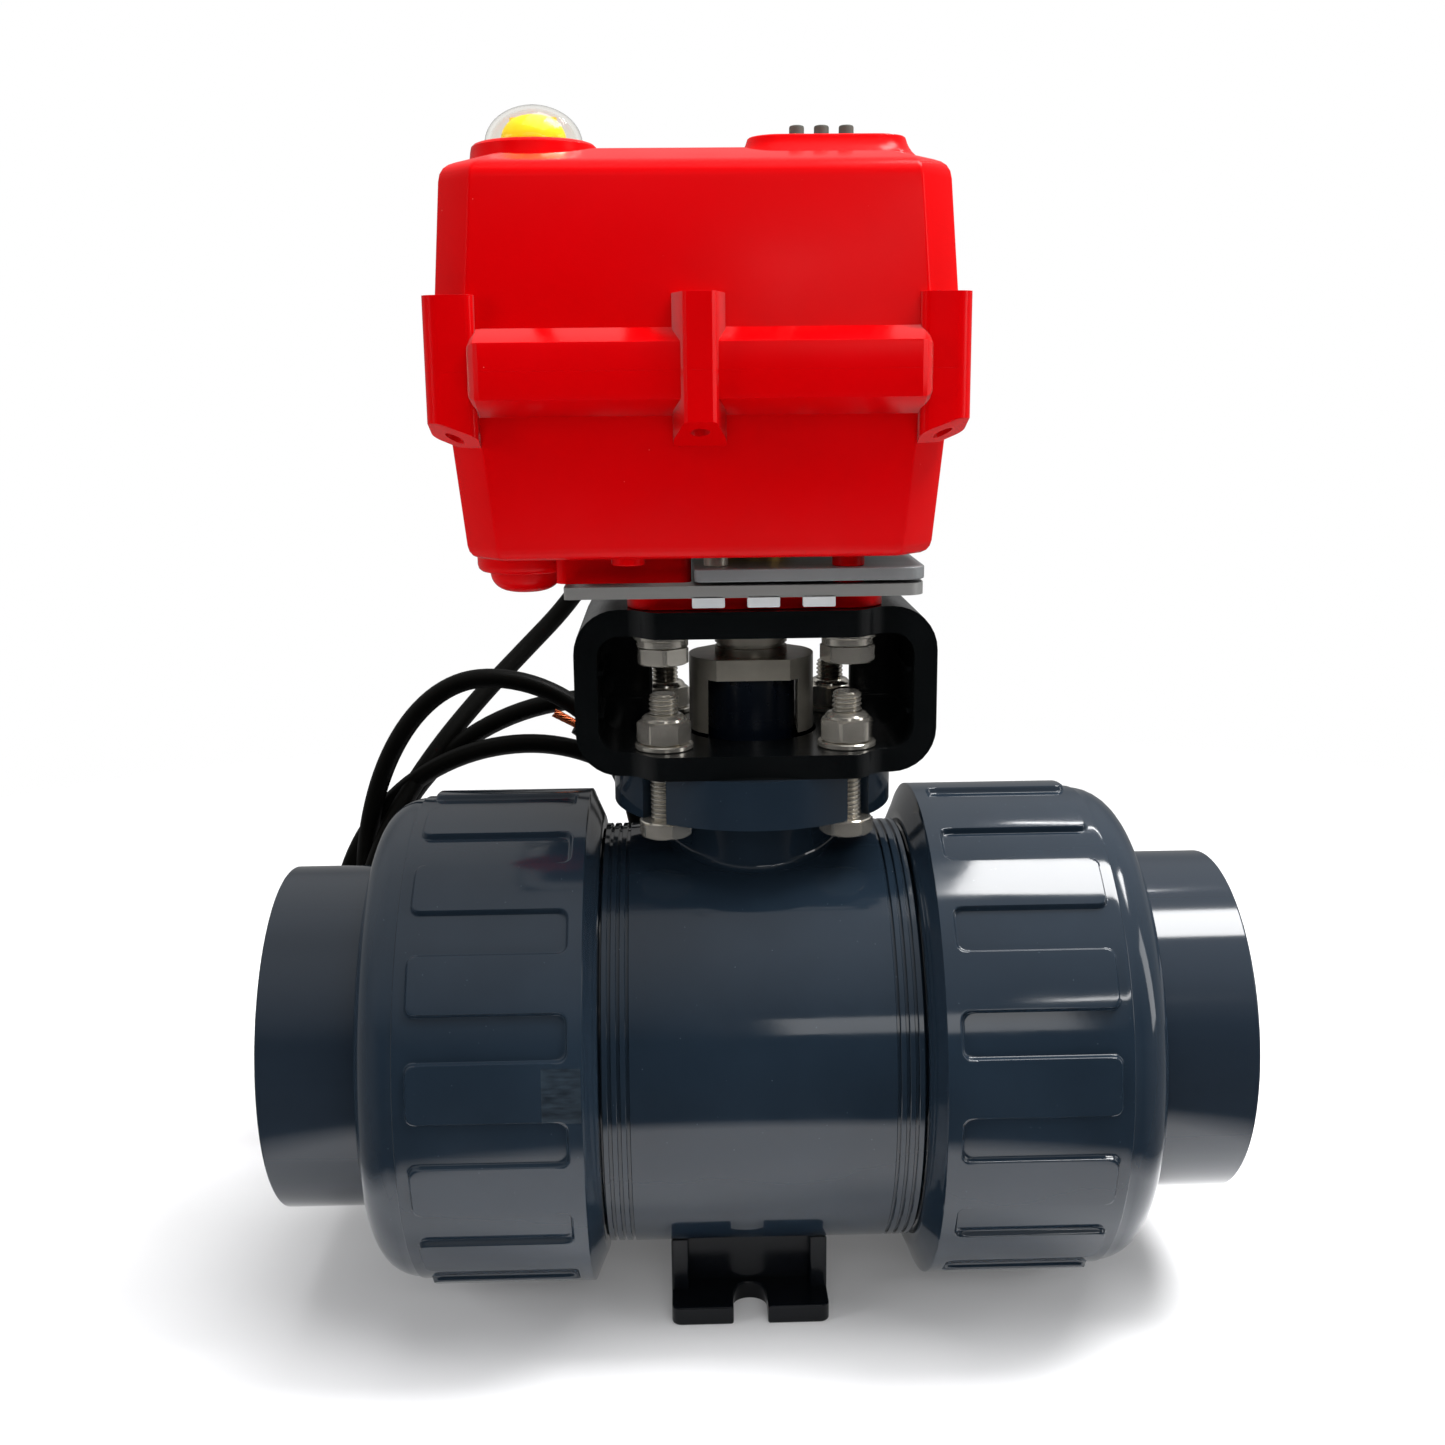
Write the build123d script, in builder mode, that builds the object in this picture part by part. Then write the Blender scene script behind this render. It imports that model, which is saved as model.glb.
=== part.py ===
from build123d import *
import math
import os

# Motor-driven valve: a union-ended plastic ball valve, an actuator on a mounting bracket, and its cable.
# Millimetres, +Z up, X along the pipe, origin on the ground below the stem axis.

# --- pipe and valve body ---
AXIS_Z = 76.0               # pipe axis above the ground
VALVE_LENGTH = 270.0        # face to face of the two end connectors
BORE_R = 38.5               # waterway
BODY_R = 60.6               # plain cylinder of the body
BODY_PLAIN = 35.0           # half-length of the plain cylinder
GROOVE_WIDTH = 1.2          # the grooves beside the plain cylinder
GROOVE_DEPTH = 1.3
GROOVE_COUNT = 3
BODY_END = 71.0             # half-length of the body
THREAD_START = 46.0
THREAD_PITCH = 6.0
THREAD_TURNS = 3
THREAD_ROOT_R = 56.4
THREAD_CREST_R = 58.4
CHAMBER_R = 51.2            # room for the ball and the seat carrier
SEAT_X = 36.0               # back faces of the two ball seats
NECK_R = 24.0
FLANGE_R = 39.4
FLANGE_BOTTOM = AXIS_Z + 71.0
FLANGE_TOP = AXIS_Z + 84.3

# --- ball, stem and seats ---
BALL_R = 50.6
SEAT_OUTER_R = 48.0
SEAT_CONTACT_R = 43.0
STEM_R = 12.3
STEM_HOLE_R = 12.36
STEM_COLLAR_R = 15.4
STEM_COLLAR_BOTTOM = AXIS_Z + 52.2
STEM_COLLAR_TOP = AXIS_Z + 57.0
STEM_TANG = (24.0, 9.0)
STEM_TANG_BOTTOM = AXIS_Z + 43.0
STEM_TOP = AXIS_Z + 106.7
STEM_SEAL_LEVELS = (AXIS_Z + 62.0, AXIS_Z + 68.0)
STEM_SEAL_HEIGHT = 2.2
STEM_SEAL_DEPTH = 1.4

# --- union nuts and end connectors ---
NUT_INNER = 43.2            # mouth of the nut, nearest the valve centre
NUT_RIM = 47.0              # where the rim reaches its full radius
NUT_POCKET = 50.3           # where the pockets between the tongues start
NUT_TONGUE_END = 92.0
NUT_SHOULDER = 95.0
NUT_OUTER = 107.0
NUT_R = 71.0
NUT_WAIST_R = 69.5
NUT_MOUTH_R = 63.5
NUT_BORE_R = 59.0
NUT_COLLAR_FACE = 86.0      # face that pulls on the connector's collar
NUT_TONGUES = 16
NUT_TONGUE_WIDTH = 15.8
NUT_TONGUE_TURNS = (9.6, 8.3)    # first tongue above the horizontal on the left and right nut, degrees
CONNECTOR_R = 49.24
CONNECTOR_CLEARANCE = 0.5
COLLAR_R = 58.2
SOCKET_R = 44.6
SOCKET_DEPTH = 50.0
SOCKET_CHAMFER = 2.0

# --- foot ---
FOOT_X = -2.8
FOOT_WIDTH = 45.0
FOOT_HALF_DEPTH = 37.0
FOOT_PLATE = 5.6
FOOT_WALL_Y = 30.0
FOOT_RIB = 5.0
FOOT_SLOT_WIDTH = 9.8
FOOT_SLOT_REACH = 13.0

# --- bolts on the ISO 5211 F07 pattern ---
BOLT_SQUARE = 49.5
BOLT_R = 4.0
BOLT_HOLE_R = 4.5
HEX_AF = 13.0
HEAD_HEIGHT = 4.6
WASHER_R = 7.9
WASHER_THICK = 1.5
NUT_HEIGHT = 6.6
LOCK_COLLAR_HEIGHT = 1.6
LOWER_BOLT_TIP = AXIS_Z + 105.8
SPRING_WASHER_THICK = 2.1

# --- mounting bracket ---
BRACKET_HALF_X = 48.3
BRACKET_WALL = 6.1
BRACKET_WEB = 5.0
BRACKET_WEB_X = 28.0            # inner edge of the web beside each side wall
BRACKET_BOTTOM = FLANGE_TOP
BRACKET_FLOOR = AXIS_Z + 90.8
BRACKET_CEILING = AXIS_Z + 122.2
BRACKET_TOP = AXIS_Z + 129.3
BRACKET_CORNER = 12.0
BRACKET_WINDOW_CORNER = 6.0
BRACKET_SIDE_Y = 30.0
BRACKET_PLATE_Y = 37.0
BRACKET_BULGE = (32.0, 25.0)    # where the plate edge starts and stops swelling
BRACKET_HOLE_R = 18.6

# --- stem coupling ---
COUPLING_R = 17.6
COUPLING_BOTTOM = AXIS_Z + 91.4
COUPLING_TOP = AXIS_Z + 112.5
COUPLING_FLAT_Y = 14.0
COUPLING_SLOT = 12.5
COUPLING_BORE_R = 10.8
COUPLING_BORE_DEPTH = 3.0

# --- plates between the bracket and the housing ---
PAD_HALF = (34.0, 33.0)
LOWER_PLATE_BOTTOM = AXIS_Z + 133.4
LOWER_PLATE_THICK = 3.1
LOWER_PLATE_X = (-49.6, 43.2)
PLATE_HALF_Y = 40.0
PLATE_CORNER = 12.0
TAB_CENTRES = (-12.6, 1.6, 15.9)
TAB_WIDTH = 8.4
TAB_DROP = 2.6
TAB_THICK = 3.0
UPPER_PLATE_BOTTOM = AXIS_Z + 137.4
UPPER_PLATE_THICK = 3.3
UPPER_PLATE_X = (-16.2, 43.5)
PLATE_HOLE_R = 13.0
PILLAR_SPOTS = ((-41.0, -30.0), (-41.0, 30.0), (30.2, -32.0), (30.2, 32.0))
PILLAR_R = 4.0

# --- actuator housing and cover ---
CASE_X = -14.4              # centre of the case, left of the stem axis
CASE_WALL = 3.0
CASE_CHAMFER = 8.5
HOUSING_BOTTOM = AXIS_Z + 143.8
PARTING = AXIS_Z + 190.5
COVER_EDGE = AXIS_Z + 239.5
COVER_TOP = AXIS_Z + 245.5
HOUSING_HALF_BOTTOM = (59.3, 44.6)
HOUSING_HALF_PARTING = (63.6, 48.9)
COVER_HALF_PARTING = (65.6, 50.6)
COVER_HALF_EDGE = (62.3, 47.3)
COVER_CROWN_INSET = 24.0
BAND_X = (-69.0, 41.0)
BAND_Y = 59.0
BAND_HALF = 11.0
BAND_FACE_HALF = 5.2
BAND_ROOT_Y = 47.0
BOSS_SIZE = 12.6
BOSS_TOP = AXIS_Z + 208.5
BOSS_BOTTOM = AXIS_Z + 180.0
BOSS_POINT = AXIS_Z + 172.8
BOSS_SPOTS = ((-60.1, 46.6), (0.0, 55.6), (60.1, 46.6))     # from the case centre, both sides
SCREW_R = 2.0
SCREW_HOLE_R = 2.4
SCREW_HEAD_R = 3.5
SCREW_HEAD_HOLE_R = 4.0
SCREW_HEAD_SEAT = BOSS_TOP - 5.0
SCREW_TIP = AXIS_Z + 176.0
SCREW_HEAD_HEIGHT = 4.0
SCREW_KEY_AF = 3.0
SCREW_KEY_DEPTH = 2.0
BLOCK_X = (-56.8, -16.8)
BLOCK_HALF_Y = 24.0
BLOCK_BOTTOM = AXIS_Z + 137.6
GASKET_THICK = 1.0
GASKET_WIDTH = 1.2
GASKET_INSET = 0.9

# --- conduit plug and cable gland ---
PLUG_SPOT = (-61.5, -12.0)
PLUG_FLANGE_R = 13.0
PLUG_CAP_R = 9.0
PLUG_BOTTOM = AXIS_Z + 132.3
PLUG_FLANGE_BOTTOM = AXIS_Z + 138.0
GLAND_SPOT = (-40.0, AXIS_Z + 158.0)    # X and Z on the back wall
GLAND_HEX_AF = 19.0
GLAND_CAP_R = 8.6
GLAND_TIP_Y = 68.0
GLAND_FACE_Y = 50.0         # where the gland's hexagon starts
GLAND_HEX_DEPTH = 6.0
GLAND_PAD_DEPTH = 2.0
GLAND_INNER_Y = 40.0
GLAND_THREAD_R = 5.9

# --- indicator and buttons ---
INDICATOR_MODULE = 1.5
INDICATOR_TEETH = 16
INDICATOR_IDLER_TEETH = 27
INDICATOR_X = -55.0
INDICATOR_Y = -19.9
DOME_RING_R = 16.0
DOME_RING_TOP = AXIS_Z + 246.6
DOME_R = 12.4
DOME_WALL = 1.3
DOME_TOP = AXIS_Z + 256.2
DOME_HOLE_R = 10.0
DOME_SEAT_DEPTH = 1.5
INDICATOR_R = 8.3
INDICATOR_TOP = AXIS_Z + 253.5
INDICATOR_HEIGHT = 9.0
INDICATOR_SHAFT_R = 2.5
BUTTON_XS = (11.5, 17.8, 24.1)
BUTTON_Y = -20.0
BUTTON_R = 1.9
BUTTON_TOP = AXIS_Z + 250.8
BUTTON_HOLE_R = 1.98
BUTTON_FLANGE_R = 2.7
BUTTON_GAP = 0.1
BUTTON_SHOULDER = AXIS_Z + 243.0
BUTTON_FLANGE_THICK = 1.5
BUTTON_STEM_R = 1.2
BUTTON_STEM_BOTTOM = AXIS_Z + 229.0
PAD_X = 18.7
PAD_SIZE = (41.0, 24.0)
PAD_TOP = AXIS_Z + 247.3
PAD_CORNER = 9.0

# --- drive inside the housing ---
PRESSURE_ANGLE = 25.0
ADDENDUM = 0.85
DEDENDUM = 1.2
BACKLASH = 0.16
MAIN_MODULE = 1.5
FINE_MODULE = 1.0
OUTPUT_TEETH = 36
PINION_TEETH = 12
SECOND_WHEEL_TEETH = 48
FIRST_WHEEL_TEETH = 44
OUTPUT_GEAR_LEVEL = (AXIS_Z + 150.0, AXIS_Z + 158.0)
SECOND_WHEEL_LEVEL = (AXIS_Z + 159.5, AXIS_Z + 164.0)
FIRST_WHEEL_LEVEL = (AXIS_Z + 165.5, AXIS_Z + 169.5)
GEAR_PLATE_LEVEL = (AXIS_Z + 171.0, AXIS_Z + 173.0)
INDICATOR_LEVEL = (AXIS_Z + 175.0, AXIS_Z + 180.0)
CAM_LEVEL = (AXIS_Z + 181.5, AXIS_Z + 187.5)
SECOND_WHEEL_BEARING = 155.0    # direction from the output shaft, degrees
FIRST_WHEEL_BEARING = 260.0     # direction from the second wheel
MOTOR_BEARING = -31.0           # direction from the first wheel
GEAR_AXLE_R = 2.5
AXLE_CLEARANCE = 0.05
SHAFT_R = 8.0
SHAFT_NOSE_R = 6.6
SHAFT_STEP = AXIS_Z + 141.5
SHAFT_TOP = AXIS_Z + 190.0
BUSH_R = 11.0
MOTOR_R = 12.4
MOTOR_TOP = AXIS_Z + 212.0
MOTOR_SHAFT_R = 1.5
MOTOR_BOTTOM = GEAR_PLATE_LEVEL[1]
BOARD_LEVEL = AXIS_Z + 222.0
BOARD_THICK = 1.6
BOARD_X = (-34.0, 38.0)
BOARD_HALF_Y = 36.0
POST_SPOTS = ((-30.0, 31.0), (33.0, -31.0), (33.0, 31.0), (8.0, -33.0))
POST_R = 3.0
PLATE_LEG_SPOTS = ((-62.0, 30.0), (33.0, -31.0), (33.0, 31.0), (-62.0, -30.0))
GEAR_PLATE_X = (-68.0, 38.0)
CAM_R = 11.5
CAM_LOBE_R = 14.5
CAM_LOBE_WIDTH = 9.0
TACT_SWITCH = (5.0, 5.0, 3.4)
TERMINAL_SIZE = (40.0, 9.0, 9.0)
TERMINAL_Y = 24.0
SWITCH_SIZE = (8.0, 20.0, 6.0)
SWITCH_X = 21.0

# --- cable ---
CABLE_R = 3.3
COIL_CENTRE = (-74.5, AXIS_Z + 9.5)     # X and Z
COIL_HALF = (70.0, 85.5)
COIL_RADIAL = 34.0
COIL_Y = (78.0, 104.0)
LEAD_ROUTE = (
    (-40.0, 68.0, AXIS_Z + 158.0),
    (-40.0, 86.0, AXIS_Z + 158.0),
    (-40.0, 104.5, AXIS_Z + 154.0),
    (-42.0, 120.0, AXIS_Z + 143.0),
    (-48.5, 129.0, AXIS_Z + 126.0),
    (-60.5, 129.0, AXIS_Z + 108.5),
    (-76.0, 120.5, AXIS_Z + 93.5),
    (-91.0, 109.0, AXIS_Z + 79.0),
    (-106.0, 96.0, AXIS_Z + 62.0),
    (-119.5, 85.0, AXIS_Z + 42.0),
    (-128.5, 79.0, AXIS_Z + 19.0),
    (-132.5, 81.0, AXIS_Z - 5.0),
)
WIRE_R = 0.75
WIRE_LENGTH = 9.0
WIRE_END = (-55.0, 79.0, AXIS_Z + 76.5)

PIPE_AXIS = Axis((0, 0, AXIS_Z), (1, 0, 0))
PIPE_PLANE = Plane(origin=(0, 0, AXIS_Z), x_dir=(1, 0, 0), z_dir=(0, -1, 0))
SIDES = ((-1, "left"), (1, "right"))
BOLT_SPOTS = [(x * BOLT_SQUARE / 2, y * BOLT_SQUARE / 2) for y in (-1, 1) for x in (-1, 1)]


def save(part, name):
    """Label a finished piece and write it as its own file."""
    part.label = name
    export_step(part, f"parts/{name}.step")


def ring_profile(side, inner, outer, x_from, x_to):
    """Corner points of a plain ring around the pipe axis, on one side of the valve."""
    return [(side * x_from, inner), (side * x_to, inner), (side * x_to, outer), (side * x_from, outer)]


def polar(centre, distance, bearing):
    """Point at a distance and a bearing in degrees from a centre."""
    angle = math.radians(bearing)
    return (centre[0] + distance * math.cos(angle), centre[1] + distance * math.sin(angle))


def bearing_between(start, end):
    """Direction in degrees from one point to another."""
    return math.degrees(math.atan2(end[1] - start[1], end[0] - start[0]))


def involute(angle):
    """Involute function of an angle in radians."""
    return math.tan(angle) - angle


def gear_points(teeth, module, phase):
    """Outline of a spur gear with its first tooth at the phase angle, in degrees."""
    pitch_r = teeth * module / 2
    base_r = pitch_r * math.cos(math.radians(PRESSURE_ANGLE))
    tip_r = pitch_r + ADDENDUM * module
    root_r = pitch_r - DEDENDUM * module
    half_pitch = (math.pi * module / 2 - BACKLASH) / (2 * pitch_r) + involute(math.radians(PRESSURE_ANGLE))
    start_r = max(base_r, root_r)
    steps = 4
    flank = [(root_r, half_pitch)]
    for step in range(steps + 1):
        radius = start_r + (tip_r - start_r) * step / steps
        flank.append((radius, half_pitch - involute(math.acos(min(1.0, base_r / radius)))))
    points = []
    for tooth in range(teeth):
        centre = math.radians(phase) + 2 * math.pi * tooth / teeth
        for radius, half in flank:
            points.append((radius * math.cos(centre - half), radius * math.sin(centre - half)))
        for radius, half in reversed(flank):
            points.append((radius * math.cos(centre + half), radius * math.sin(centre + half)))
    return points


def meshing_phase(teeth_a, phase_a, teeth_b, bearing):
    """Phase of gear B, which lies at a bearing from gear A, so that the two are in mesh."""
    past_tooth = ((bearing - phase_a) * teeth_a / 360.0) % 1.0
    return bearing + 180.0 - (0.5 - past_tooth) * 360.0 / teeth_b


def case_outline(half, grow=0.0, mode=Mode.ADD):
    """Outline of the case with its corners cut off, in the current sketch."""
    across = half[0] + grow
    deep = half[1] + grow
    corners = [(across - CASE_CHAMFER, deep), (across, deep - CASE_CHAMFER)]
    corners += [(x, -y) for x, y in reversed(corners)]
    corners += [(-x, y) for x, y in reversed(corners)]
    Polygon(*[(CASE_X + x, y) for x, y in corners], align=None, mode=mode)


def seat_face_x(radius):
    """Where the seat's cone, which just clears the ball, stands at a radius from the pipe axis."""
    contact_x = math.sqrt(BALL_R**2 - SEAT_CONTACT_R**2)
    return (BALL_R * (BALL_R + 0.05) - radius * SEAT_CONTACT_R) / contact_x


def boss_spots():
    """Centres of the six screw bosses around the case."""
    return [(CASE_X + x, side * y) for side in (-1, 1) for x, y in BOSS_SPOTS]


# ---------------------------------------------------------------- valve body
groove_points = []
for index in range(GROOVE_COUNT):
    groove_x = BODY_PLAIN + 2 * GROOVE_WIDTH * index
    groove_points += [
        (groove_x, BODY_R),
        (groove_x, BODY_R - GROOVE_DEPTH),
        (groove_x + GROOVE_WIDTH, BODY_R - GROOVE_DEPTH),
        (groove_x + GROOVE_WIDTH, BODY_R),
    ]
body_step = BODY_PLAIN + 2 * GROOVE_WIDTH * GROOVE_COUNT
thread_points = [(body_step, BODY_R), (body_step, THREAD_ROOT_R)]
for index in range(THREAD_TURNS):
    thread_x = THREAD_START + THREAD_PITCH * index
    thread_points += [
        (thread_x, THREAD_ROOT_R),
        (thread_x + 1.5, THREAD_CREST_R),
        (thread_x + 3.5, THREAD_CREST_R),
        (thread_x + 5.0, THREAD_ROOT_R),
    ]
thread_points += [(BODY_END, THREAD_ROOT_R)]
half_outline = groove_points + thread_points
mirrored_outline = [(-x, r) for x, r in reversed(half_outline)]
body_points = [(-BODY_END, 0)] + mirrored_outline + half_outline + [(BODY_END, 0)]
chamber_points = [(BODY_END, 0), (BODY_END, CHAMBER_R), (-SEAT_X, CHAMBER_R), (-SEAT_X, BORE_R)]
chamber_points += [(-BODY_END, BORE_R), (-BODY_END, 0)]

with BuildPart() as valve_body:
    with BuildSketch(PIPE_PLANE):
        with BuildLine():
            Polyline(body_points, close=True)
        make_face()
    revolve(axis=PIPE_AXIS)
    with BuildSketch(Plane.XY.offset(AXIS_Z)):
        Circle(NECK_R)
    extrude(amount=FLANGE_TOP - AXIS_Z)
    with BuildSketch(Plane.XY.offset(FLANGE_BOTTOM)):
        Circle(FLANGE_R)
        for spot in BOLT_SPOTS:
            with Locations(Location((*spot, 0), bearing_between((0, 0), spot))):
                Circle(BOLT_HOLE_R, mode=Mode.SUBTRACT)
                Rectangle(FLANGE_R, 2 * BOLT_HOLE_R, align=(Align.MIN, Align.CENTER), mode=Mode.SUBTRACT)
    extrude(amount=FLANGE_TOP - FLANGE_BOTTOM)
    with BuildSketch(PIPE_PLANE):
        with BuildLine():
            Polyline(chamber_points, close=True)
        make_face()
    revolve(axis=PIPE_AXIS, mode=Mode.SUBTRACT)
    with BuildSketch(Plane.XY.offset(AXIS_Z)):
        Circle(STEM_HOLE_R)
    extrude(amount=FLANGE_TOP - AXIS_Z, mode=Mode.SUBTRACT)
    with BuildSketch(Plane.XY.offset(AXIS_Z)):
        Circle(STEM_COLLAR_R + 0.4)
    extrude(amount=STEM_COLLAR_TOP + 0.4 - AXIS_Z, mode=Mode.SUBTRACT)
save(valve_body.part, "valve_body")

# ---------------------------------------------------------------- foot
with BuildPart() as base_foot:
    with BuildSketch():
        with Locations((FOOT_X, 0)):
            RectangleRounded(FOOT_WIDTH, 2 * FOOT_HALF_DEPTH, 2.0)
        for side in (-1, 1):
            with Locations((FOOT_X, side * FOOT_HALF_DEPTH)):
                SlotCenterToCenter(2 * FOOT_SLOT_REACH, FOOT_SLOT_WIDTH, rotation=90, mode=Mode.SUBTRACT)
    extrude(amount=FOOT_PLATE)
    with BuildSketch():
        with Locations((FOOT_X, 0)):
            Rectangle(FOOT_WIDTH, 2 * FOOT_WALL_Y - 16)
        for side in (-1, 1):
            with Locations((FOOT_X + side * (FOOT_WIDTH - FOOT_RIB) / 2, 0)):
                Rectangle(FOOT_RIB, 2 * FOOT_WALL_Y)
    extrude(amount=AXIS_Z - 35.0)
    with BuildSketch(PIPE_PLANE):
        with Locations((FOOT_X, 0)):
            Rectangle(2 * FOOT_WIDTH, BODY_R + 0.1, align=(Align.CENTER, Align.MIN))
    revolve(axis=PIPE_AXIS, mode=Mode.SUBTRACT)
save(base_foot.part, "base_foot")

# ---------------------------------------------------------------- ball, stem, seats
with BuildPart() as ball:
    with Locations((0, 0, AXIS_Z)):
        Sphere(BALL_R)
    with BuildSketch(PIPE_PLANE):
        Rectangle(2 * BALL_R, BORE_R, align=(Align.CENTER, Align.MIN))
    revolve(axis=PIPE_AXIS, mode=Mode.SUBTRACT)
    with BuildSketch(Plane.XY.offset(STEM_TANG_BOTTOM - 0.3)):
        Rectangle(2 * BALL_R, STEM_TANG[1] + 0.1)
    extrude(amount=BALL_R, mode=Mode.SUBTRACT)
save(ball.part, "ball")

stem_outline = [(0, STEM_COLLAR_BOTTOM), (STEM_COLLAR_R, STEM_COLLAR_BOTTOM)]
stem_outline += [(STEM_COLLAR_R, STEM_COLLAR_TOP)]
stem_outline += [(STEM_R, STEM_COLLAR_TOP)]
for level in STEM_SEAL_LEVELS:
    stem_outline += [
        (STEM_R, level),
        (STEM_R - STEM_SEAL_DEPTH, level),
        (STEM_R - STEM_SEAL_DEPTH, level + STEM_SEAL_HEIGHT),
        (STEM_R, level + STEM_SEAL_HEIGHT),
    ]
stem_outline += [(STEM_R, STEM_TOP), (0, STEM_TOP)]
with BuildPart() as valve_stem:
    with BuildSketch(Plane.XZ):
        with BuildLine():
            Polyline(stem_outline, close=True)
        make_face()
    revolve(axis=Axis.Z)
    with BuildSketch(Plane.XY.offset(STEM_TANG_BOTTOM)):
        Rectangle(*STEM_TANG)
    extrude(amount=STEM_COLLAR_BOTTOM - STEM_TANG_BOTTOM)
save(valve_stem.part, "valve_stem")

with BuildPart() as stem_seals:
    for level in STEM_SEAL_LEVELS:
        with BuildSketch(Plane.XY.offset(level + 0.1)):
            Circle(STEM_R - 0.02)
            Circle(STEM_R - STEM_SEAL_DEPTH, mode=Mode.SUBTRACT)
        extrude(amount=STEM_SEAL_HEIGHT - 0.2)
save(stem_seals.part, "stem_seals")

for side, side_name in SIDES:
    with BuildPart() as ball_seat:
        with BuildSketch(PIPE_PLANE):
            with BuildLine():
                Polyline(
                    (side * seat_face_x(BORE_R), BORE_R),
                    (side * seat_face_x(SEAT_OUTER_R), SEAT_OUTER_R),
                    (side * SEAT_X, SEAT_OUTER_R),
                    (side * SEAT_X, BORE_R),
                    close=True,
                )
            make_face()
        revolve(axis=PIPE_AXIS)
    save(ball_seat.part, f"ball_seat_{side_name}")

with BuildPart() as seat_carrier:
    with BuildSketch(PIPE_PLANE):
        with BuildLine():
            Polyline(ring_profile(1, BORE_R, CHAMBER_R - 0.1, SEAT_X, BODY_END - 1.5), close=True)
        make_face()
        with Locations((SEAT_X + 14.0, CHAMBER_R)):
            Rectangle(3.4, 5.4, mode=Mode.SUBTRACT)
    revolve(axis=PIPE_AXIS)
save(seat_carrier.part, "seat_carrier")

with BuildPart() as carrier_seal:
    with BuildSketch(PIPE_PLANE):
        with Locations((SEAT_X + 14.0, CHAMBER_R - 1.45)):
            Rectangle(3.0, 2.5)
    revolve(axis=PIPE_AXIS)
save(carrier_seal.part, "carrier_seal")

# ---------------------------------------------------------------- end connectors and union nuts
collar_start = BODY_END + 0.6
connector_end = VALVE_LENGTH / 2
for (side, side_name), tongue_turn in zip(SIDES, NUT_TONGUE_TURNS):
    with BuildPart() as end_connector:
        with BuildSketch(PIPE_PLANE):
            with BuildLine():
                Polyline(
                    (side * collar_start, BORE_R),
                    (side * (connector_end - SOCKET_DEPTH), BORE_R),
                    (side * (connector_end - SOCKET_DEPTH), SOCKET_R),
                    (side * (connector_end - SOCKET_CHAMFER), SOCKET_R),
                    (side * connector_end, SOCKET_R + SOCKET_CHAMFER),
                    (side * connector_end, CONNECTOR_R),
                    (side * (NUT_COLLAR_FACE - 0.3), CONNECTOR_R),
                    (side * (NUT_COLLAR_FACE - 0.3), COLLAR_R),
                    (side * collar_start, COLLAR_R),
                    close=True,
                )
            make_face()
            with Locations((side * collar_start, 45.5)):
                Rectangle(4.8, 4.0, mode=Mode.SUBTRACT)
        revolve(axis=PIPE_AXIS)
    save(end_connector.part, f"end_connector_{side_name}")

    tongue_length = NUT_TONGUE_END - NUT_RIM
    tongue_middle = side * (NUT_TONGUE_END + NUT_RIM) / 2
    tongue_planes = []
    for index in range(NUT_TONGUES):
        angle = math.radians(tongue_turn + 360.0 * index / NUT_TONGUES)
        outward = Vector(0, -math.cos(angle), math.sin(angle))
        tongue_origin = Vector(tongue_middle, 0, AXIS_Z) + outward * (NUT_WAIST_R - 4)
        tongue_planes.append(Plane(origin=tongue_origin, x_dir=(1, 0, 0), z_dir=outward))
    with BuildPart() as union_nut:
        with BuildSketch(*tongue_planes):
            RectangleRounded(tongue_length, NUT_TONGUE_WIDTH, 2.5)
        extrude(amount=8)
        with BuildSketch(PIPE_PLANE):
            with BuildLine():
                Polyline(ring_profile(side, NUT_BORE_R, NUT_R, NUT_INNER, NUT_OUTER), close=True)
            make_face()
        revolve(axis=PIPE_AXIS, mode=Mode.INTERSECT)
        with BuildSketch(PIPE_PLANE):
            with BuildLine():
                Polyline(
                    (side * (NUT_OUTER - 0.2), CONNECTOR_R + 4.5),
                    (side * NUT_OUTER, CONNECTOR_R + 3.0),
                    (side * NUT_OUTER, CONNECTOR_R + CONNECTOR_CLEARANCE),
                    (side * NUT_COLLAR_FACE, CONNECTOR_R + CONNECTOR_CLEARANCE),
                    (side * NUT_COLLAR_FACE, NUT_BORE_R),
                    (side * NUT_INNER, NUT_BORE_R),
                    (side * NUT_INNER, NUT_MOUTH_R),
                    (side * NUT_RIM, NUT_R),
                    (side * NUT_POCKET, NUT_R),
                    (side * NUT_POCKET, NUT_WAIST_R),
                    (side * NUT_SHOULDER, NUT_WAIST_R),
                )
                ThreePointArc(
                    (side * NUT_SHOULDER, NUT_WAIST_R),
                    (side * (NUT_SHOULDER + 8.6), NUT_WAIST_R - 5.4),
                    (side * (NUT_OUTER - 0.2), CONNECTOR_R + 4.5),
                )
            make_face()
        revolve(axis=PIPE_AXIS)
    save(union_nut.part, f"union_nut_{side_name}")

with BuildPart() as face_seals:
    with BuildSketch(PIPE_PLANE):
        with Locations((-BODY_END - 1.45, 45.5), (BODY_END + 1.45, 45.5)):
            Rectangle(2.7, 3.6)
    revolve(axis=PIPE_AXIS)
save(face_seals.part, "face_seals")

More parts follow.
